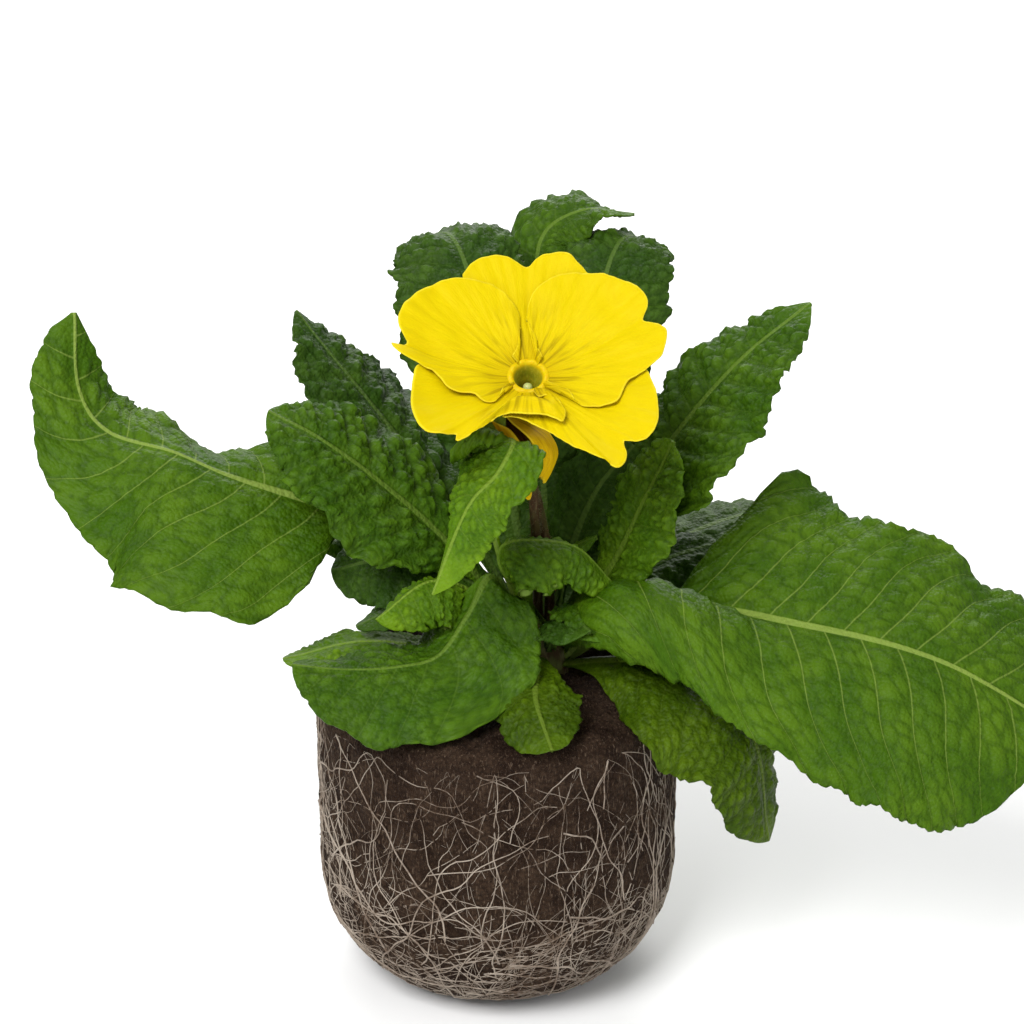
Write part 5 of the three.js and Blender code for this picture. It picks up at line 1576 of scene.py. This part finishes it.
@dataclass(frozen=True)
class Flowers:
    """The open bloom, the opening one and their stems. A profile gives radii and distances along an axis."""

    sides: int = 80
    profile_steps: int = 44
    tube_wall: float = 0.3
    mouth: tuple[Pair, ...] = (
        (1.5, -18.5), (1.5, -9), (2.1, -6), (3.0, -2), (3.5, -0.5), (3.8, 0.2), (4.4, 0.45),
        (5.0, 0.25), (5.5, -0.05),
    )
    pistil: tuple[Pair, ...] = (
        (0.02, -18), (0.42, -17.8), (0.42, -6.6), (0.9, -6.2), (1.25, -5.4), (1.2, -4.6), (0.7, -3.95),
        (0.02, -3.8),
    )
    bud_base: tuple[Pair, ...] = ((0.02, 0.4), (1.6, 0.6), (2.2, 3), (2.4, 5), (0.02, 5.4))
    bloom_stem: tuple[Point, ...] = ((11, -1, 96), (10.6, -4, 118), (9.4, -8, 138))
    bud_stem: tuple[Point, ...] = (
        (14, -1, 96), (13.4, -2.5, 118), (8, -1, 142), (-2, -3, 158), (-7.5, -9.5, 167.3),
    )

    RING = 4.5
    RING_WIDTH = 0.5
    RING_SCALE = 0.5

    def lathe(self, name: str, axes: Axes, profile: Sequence[Pair], outside: bool = True) -> bpy.types.Object:
        """Turns a profile round an axis.

        Args:
            name: the piece's name.
            axes: where it stands and what it faces.
            profile: radius and distance along the axis, in order.
            outside: whether its upper face looks away from the axis.

        Returns:
            The piece.
        """
        line = Line.through([(r, h, 0.0) for r, h in profile], self.profile_steps)
        turn = np.linspace(0, TURN, self.sides + 1)
        angle = turn if outside else turn[::-1]
        radius = line.places[:, :1] + 0 * angle
        height = line.places[:, 1:2] + 0 * angle
        scales = np.cos(5 * angle) ** 2 * bell(radius, self.RING_WIDTH, self.RING)
        scales = scales * (0 if outside else self.RING_SCALE)
        piece = closed_from(name, axes.ring(angle + 0 * radius, radius, height + scales))
        note(piece, "depth", (read_points(piece) - axes.origin) @ axes.out)
        return piece

    def build_throat(self) -> None:
        """Makes the tube with the ring round its mouth, and the pistil that stands in it."""
        tube = self.lathe("bloom_tube", BLOOM_AXES, self.mouth, outside=False)
        dress(tube, throat_material())
        thicken(tube, self.tube_wall)
        hold(tube, "petal", "bloom_corolla")
        pistil = self.lathe("pistil", BLOOM_AXES, self.pistil)
        dress(pistil, stigma_material())
        hold(pistil, "calyx", "bloom_calyx")

    def build(self) -> None:
        """Makes both flowers."""
        for index, lobe in enumerate(LOBES):
            lobe.build(1.7 * index + 0.4)
        self.build_throat()
        for index, petal in enumerate(BUD_PETALS):
            petal.build(2.3 * index + 0.9)
        base = self.lathe("bud_tube", BUD_AXES, self.bud_base)
        dress(base, throat_material())
        hold(base, "bud_petal", "bud_corolla")
        Calyx("bloom_calyx", BLOOM_FOOT, length=9.0, radius=3.3, flare=1.0).build()
        Calyx("bud_calyx", BUD_AXES, length=5.0, radius=3.9, flare=1.8).build()
        FlowerStem("bloom_stem", self.bloom_stem, BLOOM_FOOT).build(21)
        FlowerStem("bud_stem", self.bud_stem, BUD_AXES).build(22)


@dataclass(frozen=True)
class Crown:
    """The short stub that the leaves and stems spring from, with the bases of old leaf stalks."""

    profile: tuple[Pair, ...] = (
        (0.05, 76), (6.3, 76.2), (6.9, 84), (6.9, 90), (5.9, 93), (4.5, 96.5), (3.1, 99.5), (1.2, 101),
        (0.05, 101.2),
    )
    steps: tuple[int, int] = (60, 90)
    ribs: float = 4.5
    rib_height: float = 0.5
    lump_height: float = 0.3
    lump_size: float = 4.0

    def build(self) -> bpy.types.Object:
        """Makes the crown and fixes it to the frame.

        Returns:
            The piece.
        """
        line = Line.through([(r, h, 0.0) for r, h in self.profile], self.steps[0])
        angle = np.linspace(0, TURN, self.steps[1] + 1) + 0 * line.places[:, :1]
        radius = line.places[:, :1] + 0 * angle
        height = line.places[:, 1:2] + 0 * angle
        ribs = np.abs(np.sin(self.ribs * angle + 0.12 * height)) - 0.6
        lumps = soft_noise(CROWN_AXES.ring(angle, radius, height) / self.lump_size, 6.0, 2)
        radius = radius + (self.rib_height * ribs + self.lump_height * lumps) * smooth(radius, 0.5, 4)
        piece = closed_from("fine_crown", CROWN_AXES.ring(angle, radius, height))
        dress(piece, CROWN_FINISH.material())
        return hold(piece, "crown", "crown")


@dataclass(frozen=True)
class Camera:
    """The camera at the photograph's viewing angle: rise in degrees, distance and target in millimetres."""

    rise: float = 21.0
    distance: float = 700.0
    focal_pixels: float = 2680.0
    frame_pixels: float = 1024.0
    sensor: float = 36.0
    target: Point = (4.0, 0.0, 130.0)

    def build(self) -> None:
        """Adds the camera and makes it the scene's own."""
        data = bpy.data.cameras.new("camera")
        data.sensor_width = self.sensor
        data.lens = self.focal_pixels / self.frame_pixels * data.sensor_width
        camera = bpy.data.objects.new("camera", data)
        away = Vector((0.0, -math.cos(self.rise * DEG), math.sin(self.rise * DEG)))
        camera.location = Vector(self.target) * MM + away * self.distance * MM
        camera.rotation_euler = ((90 - self.rise) * DEG, 0.0, 0.0)
        bpy.context.scene.collection.objects.link(camera)
        bpy.context.scene.camera = camera


@dataclass(frozen=True)
class Lamp:
    """A square area light: power in watts, size, place and the point that it faces in metres."""

    name: str
    power: float
    size: float
    place: Point
    aim: Point = (0.0, 0.0, 0.1)

    def build(self) -> None:
        """Adds the light."""
        light = bpy.data.lights.new(self.name, "AREA")
        light.energy = self.power
        light.size = self.size
        lamp = bpy.data.objects.new(self.name, light)
        lamp.location = self.place
        lamp.rotation_euler = (Vector(self.aim) - Vector(self.place)).to_track_quat("-Z", "Y").to_euler()
        bpy.context.scene.collection.objects.link(lamp)


@dataclass(frozen=True)
class Studio:
    """The pale floor, a soft key from the upper left, weaker lights round it and a bright surround."""

    floor_size: float = 6.0
    floor_colour: Colour = (0.9, 0.9, 0.9)
    surround: float = 0.5
    lamps: tuple[Lamp, ...] = (
        Lamp("key", 28.0, 0.8, (-0.55, -1.0, 1.25)),
        Lamp("fill", 5.0, 1.2, (1.2, -0.9, 0.8)),
        Lamp("back", 7.0, 1.0, (0.2, 1.2, 1.1)),
        Lamp("ground", 40.0, 2.0, (0.0, 2.2, 1.3), (0.0, 1.9, 0.0)),
    )

    def build(self) -> None:
        """Adds the floor, the lights and the surround."""
        bpy.ops.mesh.primitive_plane_add(size=self.floor_size, location=(0.0, 0.0, 0.0))
        floor = bpy.context.object
        floor.name = "floor"
        shader = Shader("floor", Roughness=0.9, Specular_IOR_Level=0.1)
        shader.surface.inputs["Base Color"].default_value = shader.full(self.floor_colour)
        dress(floor, shader.material)
        for lamp in self.lamps:
            lamp.build()
        world = bpy.data.worlds.new("surround")
        world.use_nodes = True
        background = world.node_tree.nodes["Background"]
        background.inputs["Color"].default_value = (1.0, 1.0, 1.0, 1.0)
        background.inputs["Strength"].default_value = self.surround
        bpy.context.scene.world = world
        bpy.context.scene.view_settings.view_transform = "Standard"


@dataclass
class RootBall:
    """Peat in the shape of the pot that it grew in, with the roots that run over it."""

    height: float = 84.0
    radius: float = 48.0
    foot_radius: float = 20.0
    foot_height: float = 32.0
    rim_round: float = 6.0
    segments: int = 250
    rings: int = 132
    wall: float = 95.0
    thick_roots: int = 150
    thin_roots: int = 900
    circling: float = 0.22

    STEP = 2.0
    CLEAR = 0.4
    CRUMBS = 3.0
    FRONT = 270
    BARE_REACH = 38
    BARE_SHARE = 0.6
    SHARES = (0.02, 0.92)
    TURNING = (0.88, 0.24)
    TAPER = 0.35
    SUNK = 0.55

    def profile(self) -> np.ndarray:
        """Draws the outline from the middle of the base to the middle of the top.

        Returns:
            The radius and height of its points.
        """
        drop = np.linspace(0, math.pi / 2, 24)
        foot = np.stack([
            self.foot_radius + (self.radius - self.foot_radius) * np.sin(drop),
            self.foot_height * (1 - np.cos(drop)),
        ], 1)
        turn = np.linspace(0, math.pi / 2, 8)
        rim = np.stack([
            self.radius - self.rim_round * (1 - np.cos(turn)),
            self.height - self.rim_round * (1 - np.sin(turn)),
        ], 1)
        return np.vstack([[0, 0], foot, rim, [20, self.height + 0.6], [0, self.height + 0.4]])

    @staticmethod
    def outward(outline: np.ndarray) -> np.ndarray:
        """Returns the directions that the outline's points face, in radius and height."""
        slope = np.gradient(outline, axis=0)
        return unit(np.stack([slope[:, 1], -slope[:, 0]], 1))

    def crumble(self, points: np.ndarray) -> np.ndarray:
        """Works out the crumbs of the peat.

        Args:
            points: places on the smooth ball, in millimetres.

        Returns:
            How far the peat stands out at each of them.
        """
        coarse = soft_noise(points / 9.0, self.CRUMBS, 2)
        fine = soft_noise(points / 3.2, self.CRUMBS + 1, 3)
        return 0.35 * coarse + 0.42 * np.abs(fine)

    def build_peat(self) -> bpy.types.Object:
        """Makes the ball of peat and fixes it to the frame.

        Returns:
            The piece.
        """
        bpy.ops.mesh.primitive_uv_sphere_add(segments=self.segments, ring_count=self.rings, radius=1.0)
        piece = bpy.context.object
        piece.name = piece.data.name = "peat_ball"
        start = read_points(piece) * MM
        outline = self.profile()
        run = run_along(outline)
        share = np.arccos(np.clip(-start[:, 2], -1, 1)) / math.pi * run[-1]
        radius = np.interp(share, run, outline[:, 0])
        height = np.interp(share, run, outline[:, 1])
        angle = np.arctan2(start[:, 1], start[:, 0])
        round_about = np.stack([np.cos(angle), np.sin(angle)], 1)
        points = np.column_stack([round_about * radius[:, None], height])
        out = self.outward(outline)
        faced = np.stack([np.interp(share, run, out[:, k]) for k in (0, 1)], 1)
        normal = np.column_stack([round_about * faced[:, :1], faced[:, 1]])
        rough = self.crumble(points) * smooth(height, 0.5, 6.0)
        top = smooth(height, self.height - 1.5, self.height)
        rough = rough + top * (1.2 * soft_noise(points / 7.0, 8.0, 3) - 0.4)
        write_points(piece, points + normal * rough[:, None])
        shade(piece)
        dress(piece, peat_material())
        return hold(piece, "peat", "root_ball")

    def on_wall(self, angle: np.ndarray, share: np.ndarray, stand: np.ndarray | float) -> np.ndarray:
        """Finds places on the outside of the ball.

        Args:
            angle: the direction, in radians.
            share: 0 at the edge of the flat base to 1 at the rim.
            stand: how far each place stands off the peat.

        Returns:
            The places.
        """
        outline = self.profile()[1:-3]
        run = run_along(outline)
        s = np.clip(share, 0, 1) * run[-1]
        out = self.outward(outline)
        found = [np.interp(s, run, part) for part in (outline[:, 0], outline[:, 1], out[:, 0], out[:, 1])]
        radius, height = found[0] + stand * found[2], found[1] + stand * found[3]
        return np.stack([radius * np.cos(angle), radius * np.sin(angle), height], -1)

    def root_route(self, dice: np.random.Generator, length: float, stand: float) -> np.ndarray:
        """Lets one root wander over the outside of the ball.

        Args:
            dice: where its random draws come from.
            length: how far it runs, in millimetres.
            stand: how far its middle stands off the peat.

        Returns:
            The points that it passes.
        """
        angle, share = dice.uniform(0, TURN), 0.9 * (1 - dice.uniform(0.0, 1.0) ** 0.6)
        bare = float(bell(angle / DEG, self.BARE_REACH, self.FRONT)) * float(smooth(share, 0.3, 0.6))
        if dice.uniform() < self.BARE_SHARE * bare:
            angle, share = angle + dice.choice([-1, 1]) * 80 * DEG, 0.5 * share
        base = dice.choice([dice.normal(0, 0.6), math.pi / 2 + dice.normal(0, 0.5)])
        if dice.uniform() < self.circling:
            share, base, length = abs(dice.normal(0.33, 0.07)), dice.normal(0, 0.1), 1.4 * length
        wander = 0.0
        least, most = self.SHARES
        held, shaken = self.TURNING
        angles, shares = [], []
        for _ in range(max(int(length / self.STEP), 5)):
            angles.append(angle)
            shares.append(share)
            wander = held * wander + dice.normal(0, shaken)
            angle += self.STEP * math.cos(base + wander) / self.radius
            share += self.STEP * math.sin(base + wander) / self.wall
            if not least < share < most:
                base = -base
                share = min(max(share, least), most)
        angles, shares = np.array(angles), np.array(shares)
        lumps = self.crumble(self.on_wall(angles, shares, 0.0))
        places = self.on_wall(angles, shares, stand + lumps)
        places[:, 2] = np.maximum(places[:, 2], self.CLEAR)
        return places

    def build_roots(self, name: str, count: int, lengths: Pair, radii: Pair, seed: int) -> bpy.types.Object:
        """Makes a net of roots.

        Args:
            name: the piece's name.
            count: how many roots it has.
            lengths: their least and greatest length.
            radii: their least and greatest radius.
            seed: sets one net apart from another.

        Returns:
            The piece.
        """
        dice = np.random.default_rng(seed)
        radii_of = dice.uniform(*radii, count)
        routes = [self.root_route(dice, dice.uniform(*lengths), self.SUNK * radius) for radius in radii_of]
        tapers = [
            radius * np.linspace(1.0, self.TAPER, len(route))
            for radius, route in zip(radii_of, routes)
        ]
        piece = threads_from(name, routes, tapers)
        dress(piece, root_material())
        return piece

    def build(self) -> None:
        """Makes the peat and both nets of roots."""
        self.build_peat()
        thick = self.build_roots("root_net_thick", self.thick_roots, (30, 110), (0.17, 0.36), 11)
        hold(thick, "roots", "root_net")
        thin = self.build_roots("root_net_thin", self.thin_roots, (12, 60), (0.07, 0.17), 12)
        hold(thin, "roots")


def main() -> None:
    """Builds the studio and the plant, piece by piece."""
    logging.basicConfig(level=logging.INFO, format="%(message)s")
    LOG.info("the frame has %d nodes", len(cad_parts))
    bpy.ops.object.select_all(action="DESELECT")
    Camera().build()
    Studio().build()
    for index, leaf in enumerate(LEAVES):
        leaf.build(LEAF_SEED + index)
    Crown().build()
    Flowers().build()
    RootBall().build()
    bpy.context.view_layer.update()


if __name__ == "__main__":
    main()
